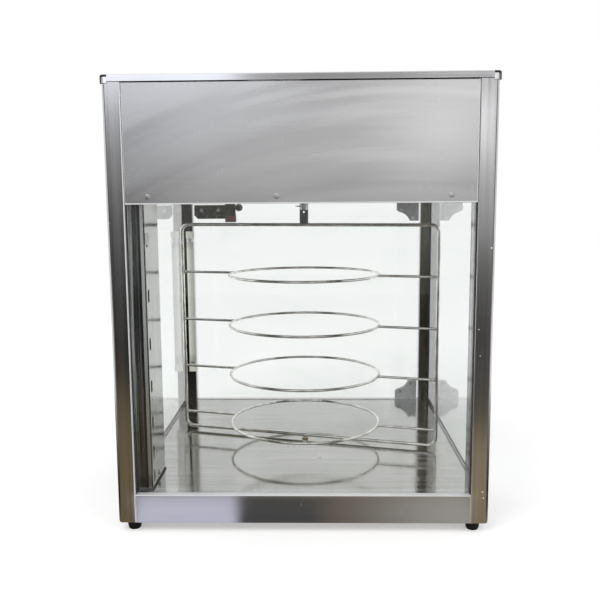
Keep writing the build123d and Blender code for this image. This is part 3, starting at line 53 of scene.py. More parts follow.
class Paint:
    """A node material in the making, textured by the object's own coordinates in metres."""

    def __init__(self, name, metallic=0.0, roughness=0.5):
        self.material = bpy.data.materials.new(name)
        self.material.use_nodes = True
        self.tree = self.material.node_tree
        self.shader = self.tree.nodes["Principled BSDF"]
        self.place = self.tree.nodes.new("ShaderNodeTexCoord").outputs["Object"]
        self.set(Metallic=metallic, Roughness=roughness)

    def set(self, **values):
        for key, value in values.items():
            self.put(self.shader.inputs[key.replace("_", " ")], value)

    def put(self, socket, value):
        if isinstance(value, bpy.types.NodeSocket):
            self.tree.links.new(value, socket)
        elif socket.type == "RGBA" and len(value) == 3:
            socket.default_value = (*value, 1.0)
        else:
            socket.default_value = value

    def node(self, kind, inputs=None, **settings):
        made = self.tree.nodes.new("ShaderNode" + kind)
        for key, value in settings.items():
            setattr(made, key, value)
        for key, value in (inputs or {}).items():
            self.put(made.inputs[key], value)
        return made

    def scaled(self, stretch, turn=(0.0, 0.0, 0.0)):
        inputs = {"Vector": self.place, "Scale": stretch, "Rotation": turn}
        return self.node("Mapping", inputs).outputs["Vector"]

    def noise(self, stretch, detail=3.0, rough=0.55, warp=0.0, vector=None):
        inputs = {"Vector": vector or self.scaled(stretch), "Scale": 1.0, "Detail": detail,
                  "Roughness": rough, "Distortion": warp}
        return self.node("TexNoise", inputs).outputs["Fac"]

    def math(self, operation, a, b=0.0, clamp=False):
        made = self.node("Math", operation=operation, use_clamp=clamp)
        self.put(made.inputs[0], a)
        self.put(made.inputs[1], b)
        return made.outputs[0]

    def product(self, value, *factors):
        for factor in factors:
            value = self.math("MULTIPLY", value, factor)
        return value

    def most(self, value, *others):
        for other in others:
            value = self.math("MAXIMUM", value, other)
        return value

    def spread(self, value, low, high, out_low=0.0, out_high=1.0, smooth=True):
        inputs = {"Value": value, "From Min": low, "From Max": high, "To Min": out_low,
                  "To Max": out_high}
        kind = "SMOOTHSTEP" if smooth else "LINEAR"
        return self.node("MapRange", inputs, interpolation_type=kind).outputs["Result"]

    def mix(self, fac, a, b):
        made = self.node("Mix", data_type="RGBA")
        self.put(made.inputs[0], fac)
        self.put(made.inputs[6], a)
        self.put(made.inputs[7], b)
        return made.outputs[2]

    def axes(self):
        return self.node("SeparateXYZ", {"Vector": self.place}).outputs

    def between(self, value, low, high, soft):
        """1 where value lies from low to high, with soft edges."""
        rise = self.spread(value, low - soft, low + soft)
        fall = self.spread(value, high - soft, high + soft)
        return self.math("SUBTRACT", rise, fall)

    def flecks(self, stretch, size, keep, turn=(0.0, 0.0, 0.0)):
        """A mask of scattered marks, one in some of the cells of a pattern."""
        cells = self.node("TexVoronoi", {"Vector": self.scaled(stretch, turn), "Scale": 1.0})
        near = self.spread(cells.outputs["Distance"], size, size * 0.4)
        chance = self.node("SeparateColor", {"Color": cells.outputs["Color"]}).outputs[0]
        return self.product(near, self.math("GREATER_THAN", chance, keep))

    def wiped(self, across, up, centre, along=2.2, over=60.0):
        """Streaks on arcs about a centre, as a cloth leaves them."""
        axes = self.axes()
        a = self.math("SUBTRACT", axes[across], centre[0])
        b = self.math("SUBTRACT", axes[up], centre[1])
        radius = self.math("SQRT", self.math("ADD", self.product(a, a), self.product(b, b)))
        angle = self.math("ARCTAN2", a, b)
        polar = self.node("CombineXYZ", {"X": self.product(angle, along),
                                         "Y": self.product(radius, over)})
        return self.noise(None, detail=1.5, rough=0.45, vector=polar.outputs["Vector"])

    def bump(self, height, strength, distance):
        inputs = {"Height": height, "Strength": strength, "Distance": distance}
        return self.node("Bump", inputs).outputs["Normal"]


def tone(color, factor):
    return tuple(channel * factor for channel in color)


# Steel sheet: how often its grain repeats in a metre along each axis, how much the slow bands,
# the clouds and the fine grain count in its shade, and what wear and painted highlights do to it
LEVEL_GRAIN = (4.0, 4.0, 460.0)
UPRIGHT_GRAIN = (1300.0, 1300.0, 4.0)
PLAN_GRAIN = (5.0, 1300.0, 5.0)
BAND_PER_GRAIN = 0.12
BAND_LEAST = 0.9
BAND_SHARE = 0.55
CLOUD_SHARE = 0.3
FINE_SHARE = 0.08
GRAIN_DEPTH = 0.0004
WEAR_AND_HIGHLIGHT_COLOR = (0.92, 0.92, 0.93)
WEAR_AND_HIGHLIGHT_SHARE = 0.85
WEAR_AND_HIGHLIGHT_ROUGHER = 0.18
WEAR_AND_HIGHLIGHT_LESS_METAL = 0.65


def steel_shade(p, fine, grain, bowed):
    """How light a sheet is from place to place; bowed gives its bands arcs to follow."""
    if bowed:
        bands = p.wiped(*bowed)
    else:
        bands = p.noise(tuple(g * BAND_PER_GRAIN + BAND_LEAST for g in grain))
    cloud = p.noise((6, 6, 9))
    shade = p.math("ADD", p.product(bands, BAND_SHARE), p.product(cloud, CLOUD_SHARE))
    return p.math("ADD", shade, p.product(fine, FINE_SHARE))


def steel_wear(p, nicks, edges):
    """A mask of small nicks and fine slanting scratches, joined by the edges' mask of wear and
    painted highlights.
    """
    marks = p.flecks((110, 110, 70), 0.07, nicks)
    slants = p.most(p.flecks((900, 60, 30), 0.16, 0.985, (0.0, 0.7, 0.0)),
                    p.flecks((1100, 60, 24), 0.14, 0.988, (0.0, -0.9, 0.0)))
    wear_and_highlight = p.most(marks, p.product(slants, 0.5))
    return p.most(wear_and_highlight, edges(p)) if edges else wear_and_highlight


def steel(name, color, roughness, grain, wipe=None, wipe_depth=0.10, grain_bump=0.10, nicks=0.93,
          stains=0.0, tint=None, edges=None, bowed=None):
    """Worn stainless sheet: fine grain, slow bands, cloth marks, stains, nicks and scratches.

    tint(paint, base) may change the colour by place, some tints being painted light, and
    edges(paint) gives a mask of wear and painted highlights along edges.
    """
    p = Paint(name, metallic=1.0)
    fine = p.noise(grain, detail=2.0, rough=0.5)
    shade = steel_shade(p, fine, grain, bowed)
    base = p.mix(p.spread(shade, 0.33, 0.60), tone(color, 0.90), tone(color, 1.09))
    rough = p.spread(shade, 0.27, 0.66, roughness - 0.03, roughness + 0.04)
    if wipe:
        streak = p.spread(p.wiped(*wipe), 0.42, 0.72)
        patch = p.spread(p.noise((4, 4, 5), detail=1.0), 0.42, 0.62)
        streak = p.product(streak, patch)
        base = p.mix(p.product(streak, wipe_depth * 3), base, tone(color, 1.35))
        rough = p.math("ADD", rough, p.product(streak, 0.08))
    if tint:
        base = tint(p, base)
    if stains:
        spots = p.flecks((34, 34, 34), 0.12, stains)
        base = p.mix(p.product(spots, 0.5), base, tone(color, 0.35))
        rough = p.math("ADD", rough, p.product(spots, 0.3))
    wear_and_highlight = steel_wear(p, nicks, edges)
    # wear and painted highlights: lighter, rougher and less metallic
    base = p.mix(p.product(wear_and_highlight, WEAR_AND_HIGHLIGHT_SHARE), base, WEAR_AND_HIGHLIGHT_COLOR)
    rough = p.math("ADD", rough, p.product(wear_and_highlight, WEAR_AND_HIGHLIGHT_ROUGHER), clamp=True)
    metal = p.math("SUBTRACT", 1.0, p.product(wear_and_highlight, WEAR_AND_HIGHLIGHT_LESS_METAL))
    p.set(Base_Color=base, Roughness=rough, Metallic=metal,
          Normal=p.bump(fine, grain_bump, GRAIN_DEPTH))
    return p.material


def wire_steel(name, color, roughness):
    """Drawn wire, a little uneven, with fine marks round it."""
    p = Paint(name, metallic=1.0)
    cloud = p.noise((60, 60, 60), detail=4.0)
    marks = p.noise((500, 500, 500), detail=2.0)
    base = p.mix(p.spread(cloud, 0.35, 0.65), tone(color, 0.8), tone(color, 1.12))
    p.set(Base_Color=base, Normal=p.bump(marks, 0.08, 0.0003),
          Roughness=p.spread(marks, 0.3, 0.7, roughness - 0.04, roughness + 0.08))
    return p.material


def glass(name, tint):
    """Clear float glass, with the faintest smears and a green body seen edge on."""
    p = Paint(name, roughness=0.0)
    smear = p.spread(p.noise((5, 5, 11), detail=5.0, rough=0.65, warp=1.2), 0.5, 0.75)
    p.set(Base_Color=p.mix(p.product(smear, 0.5), (0.985, 0.99, 0.988), tone(tint, 0.97)),
          Transmission_Weight=1.0, IOR=1.5)
    path = p.node("LightPath").outputs
    unseen = p.most(path["Is Shadow Ray"], path["Is Diffuse Ray"])
    through = p.node("BsdfTransparent", {"Color": (0.93, 0.95, 0.94)})
    either = p.node("MixShader", {"Fac": unseen})
    p.tree.links.new(p.shader.outputs[0], either.inputs[1])
    p.tree.links.new(through.outputs[0], either.inputs[2])
    body = p.node("VolumeAbsorption", {"Color": (0.45, 0.80, 0.68), "Density": 4.0})
    output = p.tree.nodes["Material Output"]
    p.tree.links.new(either.outputs[0], output.inputs["Surface"])
    p.tree.links.new(body.outputs["Volume"], output.inputs["Volume"])
    return p.material


def moulded(name, color, roughness, coat=0.0, dust=0.05, shine=0.5):
    """Moulded plastic or rubber: a fine skin, soft sheen changes and a little dust."""
    p = Paint(name)
    skin = p.noise((900, 900, 900), detail=2.0)
    cloud = p.noise((45, 45, 45), detail=4.0, rough=0.6)
    specks = p.flecks((420, 420, 420), 0.22, 0.8)
    lighter = tuple(min(1.0, channel * 1.35 + 0.01) for channel in color)
    base = p.mix(p.spread(cloud, 0.35, 0.7), color, lighter)
    base = p.mix(p.product(specks, dust), base, (0.6, 0.58, 0.54))
    p.set(Base_Color=base, Coat_Weight=coat, Specular_IOR_Level=shine,
          Roughness=p.spread(cloud, 0.3, 0.7, roughness - 0.06, roughness + 0.10),
          Normal=p.bump(skin, 0.12, 0.0003))
    return p.material


def cast(name, color, roughness):
    """Die-cast alloy: a fine pebbled skin with brighter high spots."""
    p = Paint(name, metallic=1.0)
    pebble = p.noise((700, 700, 700))
    cloud = p.noise((40, 40, 40))
    p.set(Base_Color=p.mix(p.spread(cloud, 0.35, 0.65), tone(color, 0.85), tone(color, 1.1)),
          Roughness=p.spread(pebble, 0.3, 0.7, roughness - 0.08, roughness + 0.08),
          Normal=p.bump(pebble, 0.35, 0.0004))
    return p.material


def zinc_sheet(name, color, roughness):
    """Zinc-plated sheet: a soft spangle of cells with fine scuffs."""
    p = Paint(name, metallic=1.0)
    cells = p.node("TexVoronoi", {"Vector": p.scaled((110, 110, 110)), "Scale": 1.0})
    spangle = p.node("SeparateColor", {"Color": cells.outputs["Color"]}).outputs[0]
    scuffs = p.noise((30, 400, 30))
    base = p.mix(spangle, tone(color, 0.94), tone(color, 1.06))
    base = p.mix(p.spread(scuffs, 0.55, 0.8, 0.0, 0.25), base, tone(color, 1.3))
    p.set(Base_Color=base, Normal=p.bump(scuffs, 0.08, 0.0003),
          Roughness=p.spread(spangle, 0.0, 1.0, roughness - 0.03, roughness + 0.05))
    return p.material


def greasy_plate(name):
    """Olive steel plate of the catch, painted very dark for the shade that it hangs in, and
    speckled where its plating is rubbed off.
    """
    p = Paint(name, metallic=0.85)
    cloud = p.noise((150, 150, 150), detail=4.0, rough=0.7)
    bright = p.flecks((260, 260, 260), 0.35, 0.72)
    # the plate's own olive tone, made very dark with painted shade
    base = p.mix(p.spread(cloud, 0.35, 0.65), (0.045, 0.045, 0.03), (0.13, 0.125, 0.075))
    base = p.mix(bright, base, (0.55, 0.53, 0.42))
    p.set(Base_Color=base, Roughness=p.spread(cloud, 0.3, 0.7, 0.3, 0.55),
          Normal=p.bump(cloud, 0.25, 0.0005))
    return p.material


def heat_tinted(name):
    """The element's sheath, tinted brown and blue along its length."""
    p = Paint(name, metallic=1.0)
    slow = p.noise((25, 6, 25), detail=2.0)
    fine = p.noise((300, 300, 300))
    tint = p.mix(p.spread(slow, 0.35, 0.65), (0.32, 0.25, 0.20), (0.24, 0.25, 0.30))
    p.set(Base_Color=p.mix(p.spread(fine, 0.4, 0.8), tint, (0.42, 0.38, 0.33)),
          Roughness=p.spread(fine, 0.3, 0.7, 0.3, 0.5), Normal=p.bump(fine, 0.2, 0.0003))
    return p.material


LAMP_CAP = 0.016       # length of a metal cap
LAMP_BURNT = 0.014     # the darkened glass beside it


def lamp_skin(name):
    """A milky tube with a metal cap at each end and a darkened ring beside the cap."""
    p = Paint(name, roughness=0.12)
    low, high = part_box("lamp_tube")
    height = p.axes()[2]
    inset = LAMP_CAP + LAMP_BURNT
    body = p.between(height, low.z + LAMP_CAP, high.z - LAMP_CAP, 0.0004)
    middle = p.between(height, low.z + inset, high.z - inset, 0.008)
    milky = p.mix(p.noise((200, 200, 20), detail=2.0), (0.80, 0.78, 0.69), (0.88, 0.86, 0.78))
    milky = p.mix(middle, p.mix(0.45, milky, (0.35, 0.30, 0.25)), milky)
    caps = p.mix(p.noise((900, 900, 30)), (0.60, 0.60, 0.58), (0.75, 0.75, 0.73))
    p.set(Base_Color=p.mix(body, caps, milky), Metallic=p.math("SUBTRACT", 1.0, body),
          Roughness=p.spread(body, 0.0, 1.0, 0.32, 0.14, smooth=False),
          Normal=p.bump(p.noise((400, 400, 60)), 0.05, 0.0002))
    return p.material


# Tints, wear and painted light by place. A pair of numbers says where a soft edge begins and where
# it is full, in metres in from the edge that it follows, or on the axis that it is read on.
BOTTOM_HEM_HIGHLIGHT = (0.0024, 0.0016)
SIDE_HEM_HIGHLIGHT = (0.0016, 0.0009)
SCUFF_ACROSS = (0.165, 0.195)
SCUFF_RISE = (0.05, 0.03)


def fascia_hems(p):
    """The fascia's rim carries painted highlights along its bends, and its lower right corner is
    scuffed.
    """
    low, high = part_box("front_fascia")
    x, _, z = p.axes()
    # painted highlights along the bottom and side bends; the scuffs at the lower right corner are
    # real
    bottom = p.spread(z, low.z + BOTTOM_HEM_HIGHLIGHT[0], low.z + BOTTOM_HEM_HIGHLIGHT[1])
    right = p.spread(x, high.x - SIDE_HEM_HIGHLIGHT[0], high.x - SIDE_HEM_HIGHLIGHT[1])
    left = p.product(p.spread(x, low.x + SIDE_HEM_HIGHLIGHT[0], low.x + SIDE_HEM_HIGHLIGHT[1]), 0.5)
    corner = p.product(p.spread(x, *SCUFF_ACROSS),
                       p.spread(z, low.z + SCUFF_RISE[0], low.z + SCUFF_RISE[1]))
    scuffs = p.most(p.flecks((1300, 60, 26), 0.17, 0.86, (0.0, 1.05, 0.0)),
                    p.flecks((1500, 60, 18), 0.15, 0.90, (0.0, 0.85, 0.0)))
    return p.most(bottom, right, left, p.product(scuffs, corner, 0.7))


# Nicks on the right front post: across, height and radius
NICKS = ((0.2796, 0.439, 0.0018), (0.2759, 0.0658, 0.0016), (0.2775, 0.0560, 0.0014),
         (0.2640, 0.318, 0.0011), (0.2672, 0.278, 0.0010))
POST_HEM_HIGHLIGHT = (0.0017, 0.0009)
POST_HEM_DEPTH = (0.0055, 0.0045)
JAMB_STREAK_DEPTH = 0.026
LEFT_ONLY = (0.1, -0.1)
RIGHT_ONLY = (-0.1, 0.1)


def post_edges(p):
    """The left post's inner front edge carries a painted highlight, the jambs are streaked behind
    the glass, and a few nicks show on the right post."""
    low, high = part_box("front_left_post")
    glass_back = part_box("front_glass")[1].y
    x, y, z = p.axes()
    # painted highlight along the left post's inner front edge
    inner = p.spread(p.math("ABSOLUTE", x), -high.x + POST_HEM_HIGHLIGHT[0], -high.x + POST_HEM_HIGHLIGHT[1])
    front = p.spread(y, low.y + POST_HEM_DEPTH[0], low.y + POST_HEM_DEPTH[1])
    wear_and_highlight = p.product(inner, front, p.spread(x, *LEFT_ONLY, 0.12, 1.0))
    streaks = p.spread(p.noise((90, 90, 3), rough=0.7), 0.36, 0.56)
    streaks = p.product(streaks, p.spread(z, 0.08, 0.30, 0.30, 1.0))
    streaks = p.product(streaks, p.spread(x, *LEFT_ONLY, 0.3, 1.0))
    deep = p.between(y, glass_back + 0.0005, glass_back + JAMB_STREAK_DEPTH, 0.001)
    wear_and_highlight = p.most(wear_and_highlight, p.product(streaks, deep))
    for spot_x, spot_z, size in NICKS:
        near = p.node("VectorMath", {0: p.place, 1: (spot_x, low.y, spot_z)},
                      operation="DISTANCE").outputs["Value"]
        wear_and_highlight = p.most(wear_and_highlight, p.spread(near, size, size * 0.5))
    return wear_and_highlight


def jamb_tint(p, base):
    """Behind the glass the posts are darker, darker still towards the bottom, and streaked from top
    to bottom, and the right one has a dark seam beside the pane."""
    glass_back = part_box("front_glass")[1].y
    x, y, z = p.axes()
    streaks = p.noise((420, 420, 3), rough=0.7)
    dull = p.mix(p.spread(streaks, 0.38, 0.62), (0.13, 0.13, 0.14), (0.34, 0.34, 0.38))
    dull = p.mix(p.spread(z, 0.30, 0.12), dull, (0.12, 0.125, 0.11))
    beside = p.spread(y, glass_back + 0.013, glass_back + 0.011)
    dull = p.mix(p.product(beside, p.spread(x, *RIGHT_ONLY)), dull, (0.03, 0.03, 0.03))
    return p.mix(p.spread(y, glass_back - 0.001, glass_back + 0.001), base, dull)


DUCT_FRONT = (0.0012, 0.0006)
DUCT_BY_POST = (-0.2515, -0.2530)


def duct_tint(p, base):
    """The duct's front is painted dark and mottled, a painted reflection of the ground in front."""
    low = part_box("air_duct")[0]
    y = p.axes()[1]
    mottle = p.noise((160, 160, 12), detail=4.0, rough=0.65)
    # painted dark reflection of the ground in front
    dark = p.mix(p.spread(mottle, 0.35, 0.65), (0.08, 0.08, 0.075), (0.22, 0.22, 0.20))
    return p.mix(p.spread(y, low.y + DUCT_FRONT[0], low.y + DUCT_FRONT[1]), base, dark)


def duct_edges(p):
    """The duct's front has bright streaks beside the post and a painted highlight along its inner
    edge.
    """
    low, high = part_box("air_duct")
    x, y, z = p.axes()
    front = p.spread(y, low.y + DUCT_FRONT[0], low.y + DUCT_FRONT[1])
    streaks = p.spread(p.noise((520, 520, 2.5), rough=0.7), 0.42, 0.62)
    by_post = p.product(streaks, p.spread(x, *DUCT_BY_POST), p.spread(z, 0.05, 0.30, 0.18, 0.45))
    # painted highlight where a bevel on the front's corner would catch the light
    edge = p.product(p.between(x, high.x - 0.0072, high.x - 0.0020, 0.0005),
                     p.spread(z, 0.06, 0.40, 0.55, 1.0))
    return p.product(p.most(by_post, edge), front)


def gusset_tint(p, base):
    """The upper gussets are dulled by the warm air."""
    z = p.axes()[2]
    return p.mix(p.spread(z, 0.25, 0.40, 0.0, 0.45), base, (0.12, 0.12, 0.11))


def gusset_haze(p):
    """The lower gussets carry a pale cloudy film."""
    z = p.axes()[2]
    cloud = p.noise((90, 90, 90))
    return p.product(p.spread(cloud, 0.3, 0.7, 0.35, 0.75), p.spread(z, 0.30, 0.20))


def rear_tint(p, base):
    """The rear posts' inner faces are painted dark and brown, the left one darker still as painted
    shade; outside they are clean.
    """
    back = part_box("rear_posts")[1].y
    x, y, _ = p.axes()
    mottle = p.noise((90, 90, 14), detail=4.0, rough=0.65)
    warm = p.mix(p.spread(mottle, 0.35, 0.65), (0.075, 0.072, 0.058), (0.16, 0.155, 0.12))
    # painted shade: the left rear post darker than the right
    shadow = p.mix(p.spread(x, *RIGHT_ONLY), tone((0.075, 0.075, 0.065), 0.6), warm)
    return p.mix(p.spread(y, back - 0.012, back - 0.014), base, shadow)


def rail_tint(p, base):
    """A painted pale lavender reflection at the rail's left end, fading to plain steel."""
    x = p.axes()[0]
    # painted pale lavender reflection, strongest at the left end
    lavender_reflection = p.mix(p.spread(x, -0.12, -0.07), (0.62, 0.62, 0.70), (0.5, 0.5, 0.49))
    return p.mix(0.6, base, lavender_reflection)


def rail_edges(p):
    """The rail's rounded top edge carries a painted highlight, and its ends are painted lighter."""
    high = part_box("base_rail_front")[1]
    x, _, z = p.axes()
    # painted highlights on the rounded top edge; the ends are lighter too
    ends = p.spread(p.math("ABSOLUTE", x), high.x - 0.0013, high.x - 0.0006)
    top = p.spread(z, high.z - 0.0012, high.z - 0.0007)
    return p.most(p.product(ends, 0.6), top)


# The black band round a cap's outer sides is a painted dark reflection of the room beside it.
CAP_ROUND = 0.0058             # from a cap's outer sides to where its rounding begins
CAP_DARK_REFLECTION = (0.0017, 0.0024)     # distance from there at which the black rim begins and is full


def cap_skin(name):
    """Corner caps: bright metal in front, with a painted dark reflection round the rounded outside,
    black and not metallic.
    """
    p = Paint(name, roughness=0.22)
    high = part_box("top_corner_caps")[1]
    x, _, z = p.axes()
    side = p.math("SUBTRACT", p.math("ABSOLUTE", x), high.x - CAP_ROUND)
    rise = p.math("SUBTRACT", z, high.z - CAP_ROUND)
    side = p.most(side, 0.0)
    rise = p.most(rise, 0.0)
    off = p.math("SQRT", p.math("ADD", p.product(side, side), p.product(rise, rise)))
    # painted dark reflection on the caps' rounded outer sides
    rim = p.spread(off, *CAP_DARK_REFLECTION)
    metal = p.mix(p.noise((300, 300, 300)), (0.78, 0.78, 0.77), (0.90, 0.90, 0.89))
    black = p.mix(p.noise((600, 600, 600), detail=2.0), (0.012, 0.012, 0.012), (0.03, 0.03, 0.028))
    p.set(Base_Color=p.mix(rim, metal, black), Metallic=p.math("SUBTRACT", 1.0, rim),
          Roughness=p.spread(rim, 0.0, 1.0, 0.18, 0.45, smooth=False), Specular_IOR_Level=0.2,
          Normal=p.bump(p.noise((900, 900, 900)), 0.06, 0.0002))
    return p.material


# Cloth marks: the two axes of the face, the arcs' centre, and how often they change along and over
FASCIA_WIPE = (0, 2, (0.16, -0.25), 2.6, 42.0)
FASCIA_BANDS = (0, 2, (0.16, -0.25), 1.0, 32.0)
REAR_WIPE = (0, 2, (-0.25, 0.9))
SIDE_WIPE = (1, 2, (0.1, 0.95))
FLOOR_WIPE = (0, 1, (0.05, -0.85))
TOP_WIPE = (0, 1, (-0.3, 0.5))
BODY_STEEL = (0.56, 0.56, 0.565)
POST_STEEL = tone(BODY_STEEL, 0.98)

fascia_steel = steel("fascia_steel", BODY_STEEL, 0.24, LEVEL_GRAIN, FASCIA_WIPE, wipe_depth=0.3,
                     grain_bump=0.015, nicks=0.955, edges=fascia_hems, bowed=FASCIA_BANDS)
rear_steel = steel("rear_steel", BODY_STEEL, 0.27, LEVEL_GRAIN, REAR_WIPE)
side_steel = steel("side_steel", BODY_STEEL, 0.27, LEVEL_GRAIN, SIDE_WIPE)
rail_steel = steel("rail_steel", BODY_STEEL, 0.20, LEVEL_GRAIN, nicks=0.98, tint=rail_tint,
                   edges=rail_edges)
post_steel = steel("post_steel", POST_STEEL, 0.15, UPRIGHT_GRAIN, grain_bump=0.05, nicks=0.96,
                   tint=jamb_tint, edges=post_edges)
rear_post_steel = steel("rear_post_steel", POST_STEEL, 0.20, UPRIGHT_GRAIN, grain_bump=0.06,
                        tint=rear_tint)
pan_steel = steel("pan_steel", (0.47, 0.47, 0.46), 0.075, PLAN_GRAIN, FLOOR_WIPE, wipe_depth=0.05,
                  grain_bump=0.03, nicks=0.94, stains=0.90)
ceiling_steel = steel("ceiling_steel", (0.50, 0.50, 0.49), 0.16, PLAN_GRAIN, TOP_WIPE)
top_steel = steel("top_steel", BODY_STEEL, 0.24, PLAN_GRAIN, TOP_WIPE)
trim_steel = steel("trim_steel", (0.66, 0.66, 0.67), 0.11, LEVEL_GRAIN, grain_bump=0.04)
cap_alloy = cap_skin("cap_alloy")
duct_steel = steel("duct_steel", (0.41, 0.41, 0.39), 0.13, UPRIGHT_GRAIN, grain_bump=0.05,
                   tint=duct_tint, edges=duct_edges)
hinge_steel = steel("hinge_steel", (0.66, 0.66, 0.68), 0.22, PLAN_GRAIN, nicks=0.8,
                    tint=gusset_tint, edges=gusset_haze)
screw_steel = wire_steel("screw_steel", (0.60, 0.60, 0.59), 0.22)
rack_steel = wire_steel("rack_steel", (0.80, 0.785, 0.75), 0.12)
bar_steel = wire_steel("bar_steel", (0.16, 0.16, 0.165), 0.32)
gear_steel = wire_steel("gear_steel", (0.50, 0.50, 0.51), 0.24)
zinc = zinc_sheet("zinc", (0.52, 0.53, 0.54), 0.32)
alloy = cast("alloy", (0.60, 0.61, 0.62), 0.38)
bronze = cast("bronze", (0.60, 0.42, 0.22), 0.34)
clear_glass = glass("clear_glass", (0.93, 0.97, 0.95))
rubber = moulded("rubber", (0.006, 0.006, 0.006), 0.36, dust=0.03, shine=0.16)
gasket = moulded("gasket", (0.03, 0.03, 0.03), 0.55, dust=0.08)
black_plastic = moulded("black_plastic", (0.014, 0.014, 0.015), 0.26, coat=0.2)
cream_plastic = moulded("cream_plastic", (0.70, 0.68, 0.60), 0.40)
brown_plastic = moulded("brown_plastic", (0.17, 0.065, 0.04), 0.42)
motor_enamel = moulded("motor_enamel", (0.035, 0.035, 0.04), 0.38, coat=0.3)
olive_plate = greasy_plate("olive_plate")
element_sheath = heat_tinted("element_sheath")
lamp_glass = lamp_skin("lamp_glass")
amber = moulded("amber", (0.80, 0.25, 0.03), 0.15, coat=0.6, dust=0.02)

FINISHES = {
    fascia_steel: ["front_fascia"],
    rear_steel: ["rear_control_panel"],
    rail_steel: ["base_rail_front"],
    side_steel: ["side_header_panels", "base_rail_rear", "base_side_rails"],
    post_steel: ["front_left_post", "front_right_post"],
    rear_post_steel: ["rear_posts"],
    pan_steel: ["floor_pan"],
    ceiling_steel: ["ceiling_panel"],
    top_steel: ["top_cover"],
    trim_steel: ["top_rails"],
    cap_alloy: ["top_corner_caps"],
    duct_steel: ["air_duct"],
    hinge_steel: ["hinge_gussets"],
    screw_steel: ["case_screws", "door_screws", "hitch_pin"],
    rack_steel: ["rack_frame", "rack_ring_1", "rack_ring_2", "rack_ring_3", "rack_ring_4"],
    bar_steel: ["hanger_bar"],
    gear_steel: ["drive_gear", "output_shaft", "motor_rotor"],
    zinc: ["bottom_cover", "blower_housing", "heater_box", "gearmotor_bracket"],
    alloy: ["blower_wheel", "gearbox_case", "gearbox_cover"],
    bronze: ["shaft_bush", "floor_pivot"],
    clear_glass: ["front_glass", "left_glass", "right_glass", "door_glass"],
    rubber: ["feet"],
    gasket: ["glass_gaskets"],
    black_plastic: ["door_knob", "thermostat_knob", "power_rocker", "lamp_rocker", "switch_bodies",
                    "cord_gland"],
    cream_plastic: ["lamp_holders", "thermostat_body", "hinge_bushes"],
    brown_plastic: ["magnet_catch"],
    motor_enamel: ["blower_motor", "motor_stator"],
    olive_plate: ["catch_plate", "catch_bracket"],
    element_sheath: ["heater_element"],
    lamp_glass: ["lamp_tube"],
    amber: ["indicator_lamp"],
}
for material, names in FINISHES.items():
    for name in names:
        slots = nodes[name].data.materials
        slots.clear()
        slots.append(material)


# Small pieces that the frame doesn't hold


def mesh_piece(name, mesh, material, body):
    """Puts a finished bmesh into the scene as a piece that rides on a body."""
    data = bpy.data.meshes.new(name)
    mesh.to_mesh(data)
    mesh.free()
    data.materials.append(material)
    piece = bpy.data.objects.new(name, data)
    bpy.context.scene.collection.objects.link(piece)
    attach(piece, body)
    return piece


def shade_smooth(mesh):
    for face in mesh.faces:
        face.smooth = True


def face_outwards(mesh):
    """Turns every face so that it looks towards the back of the cabinet."""
    for face in mesh.faces:
        face.normal_update()
        if face.normal.y < 0:
            face.normal_flip()


def band_faces(mesh, inner, outer):
    """Joins two closed rings of vertices with a band of faces."""
    count = len(inner)
    for s in range(count):
        t = (s + 1) % count
        mesh.faces.new((inner[s], inner[t], outer[t], outer[s]))


DIMPLE_PLACES = (-0.2245, -0.0346, 0.2203)
DIMPLE_RISE = 0.0112
DIMPLE_R = 0.0042
DIMPLE_PROUD = 0.00035
DIMPLE_SUNK = 0.00008
DIMPLE_RINGS = 5
DIMPLE_SIDES = 24


def fascia_dimples():
    """Shallow marks that the fascia's spot welds leave above its bottom edge."""
    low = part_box("front_fascia")[0]
    mesh = bmesh.new()
    for x in DIMPLE_PLACES:
        centre = Vector((x, low.y, low.z + DIMPLE_RISE))
        rings = []
        for index in range(DIMPLE_RINGS):
            angle = math.radians(index * 20 + 10)
            radius = DIMPLE_R * math.sin(angle)
            depth = DIMPLE_SUNK - DIMPLE_PROUD * math.cos(angle)
            ring = []
            for s in range(DIMPLE_SIDES):
                around = math.tau * s / DIMPLE_SIDES
                spot = Vector((radius * math.cos(around), depth, radius * math.sin(around)))
                ring.append(mesh.verts.new(centre + spot))
            rings.append(ring)
        mesh.faces.new(rings[0])
        for inner, outer in zip(rings, rings[1:]):
            band_faces(mesh, inner, outer)
        mesh.faces.new(reversed(rings[-1]))
    bmesh.ops.recalc_face_normals(mesh, faces=mesh.faces)
    shade_smooth(mesh)
    mesh_piece("fascia_dimples", mesh, fascia_steel, "cabinet")


RACK_TURN = math.radians(-15.1)       # the rack as it stands in the photograph
RACK_AXIS = Vector((0.0, -0.0099, 0.0))
RING_COUNT = 4
WELDS = ((0.2482, 0.0034), (0.1452, 0.0030))       # distance from the axis, and a bead's radius


def rack_welds():
    """Small uneven weld beads where the rings' arms meet the frame and the rings."""
    turn = Matrix.Rotation(RACK_TURN, 4, "Z")
    mesh = bmesh.new()
    for number in range(RING_COUNT):
        low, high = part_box(f"rack_ring_{number + 1}")
        height = Vector((0, 0, (low.z + high.z) / 2))
        for side in (-1, 1):
            for reach, size in WELDS:
                spot = RACK_AXIS + turn @ Vector((side * reach, 0.0, 0.0)) + height
                made = bmesh.ops.create_icosphere(mesh, subdivisions=3, radius=size)
                for vert in made["verts"]:
                    co = vert.co
                    ripple = 1.0 + 0.10 * math.sin(900 * co.x + number) * math.cos(700 * co.z)
                    bead = Vector((co.x * 0.75, co.y * 1.02, co.z * 1.02))
                    vert.co = turn @ bead * ripple + spot
    shade_smooth(mesh)
    mesh_piece("rack_welds", mesh, rack_steel, "rack")


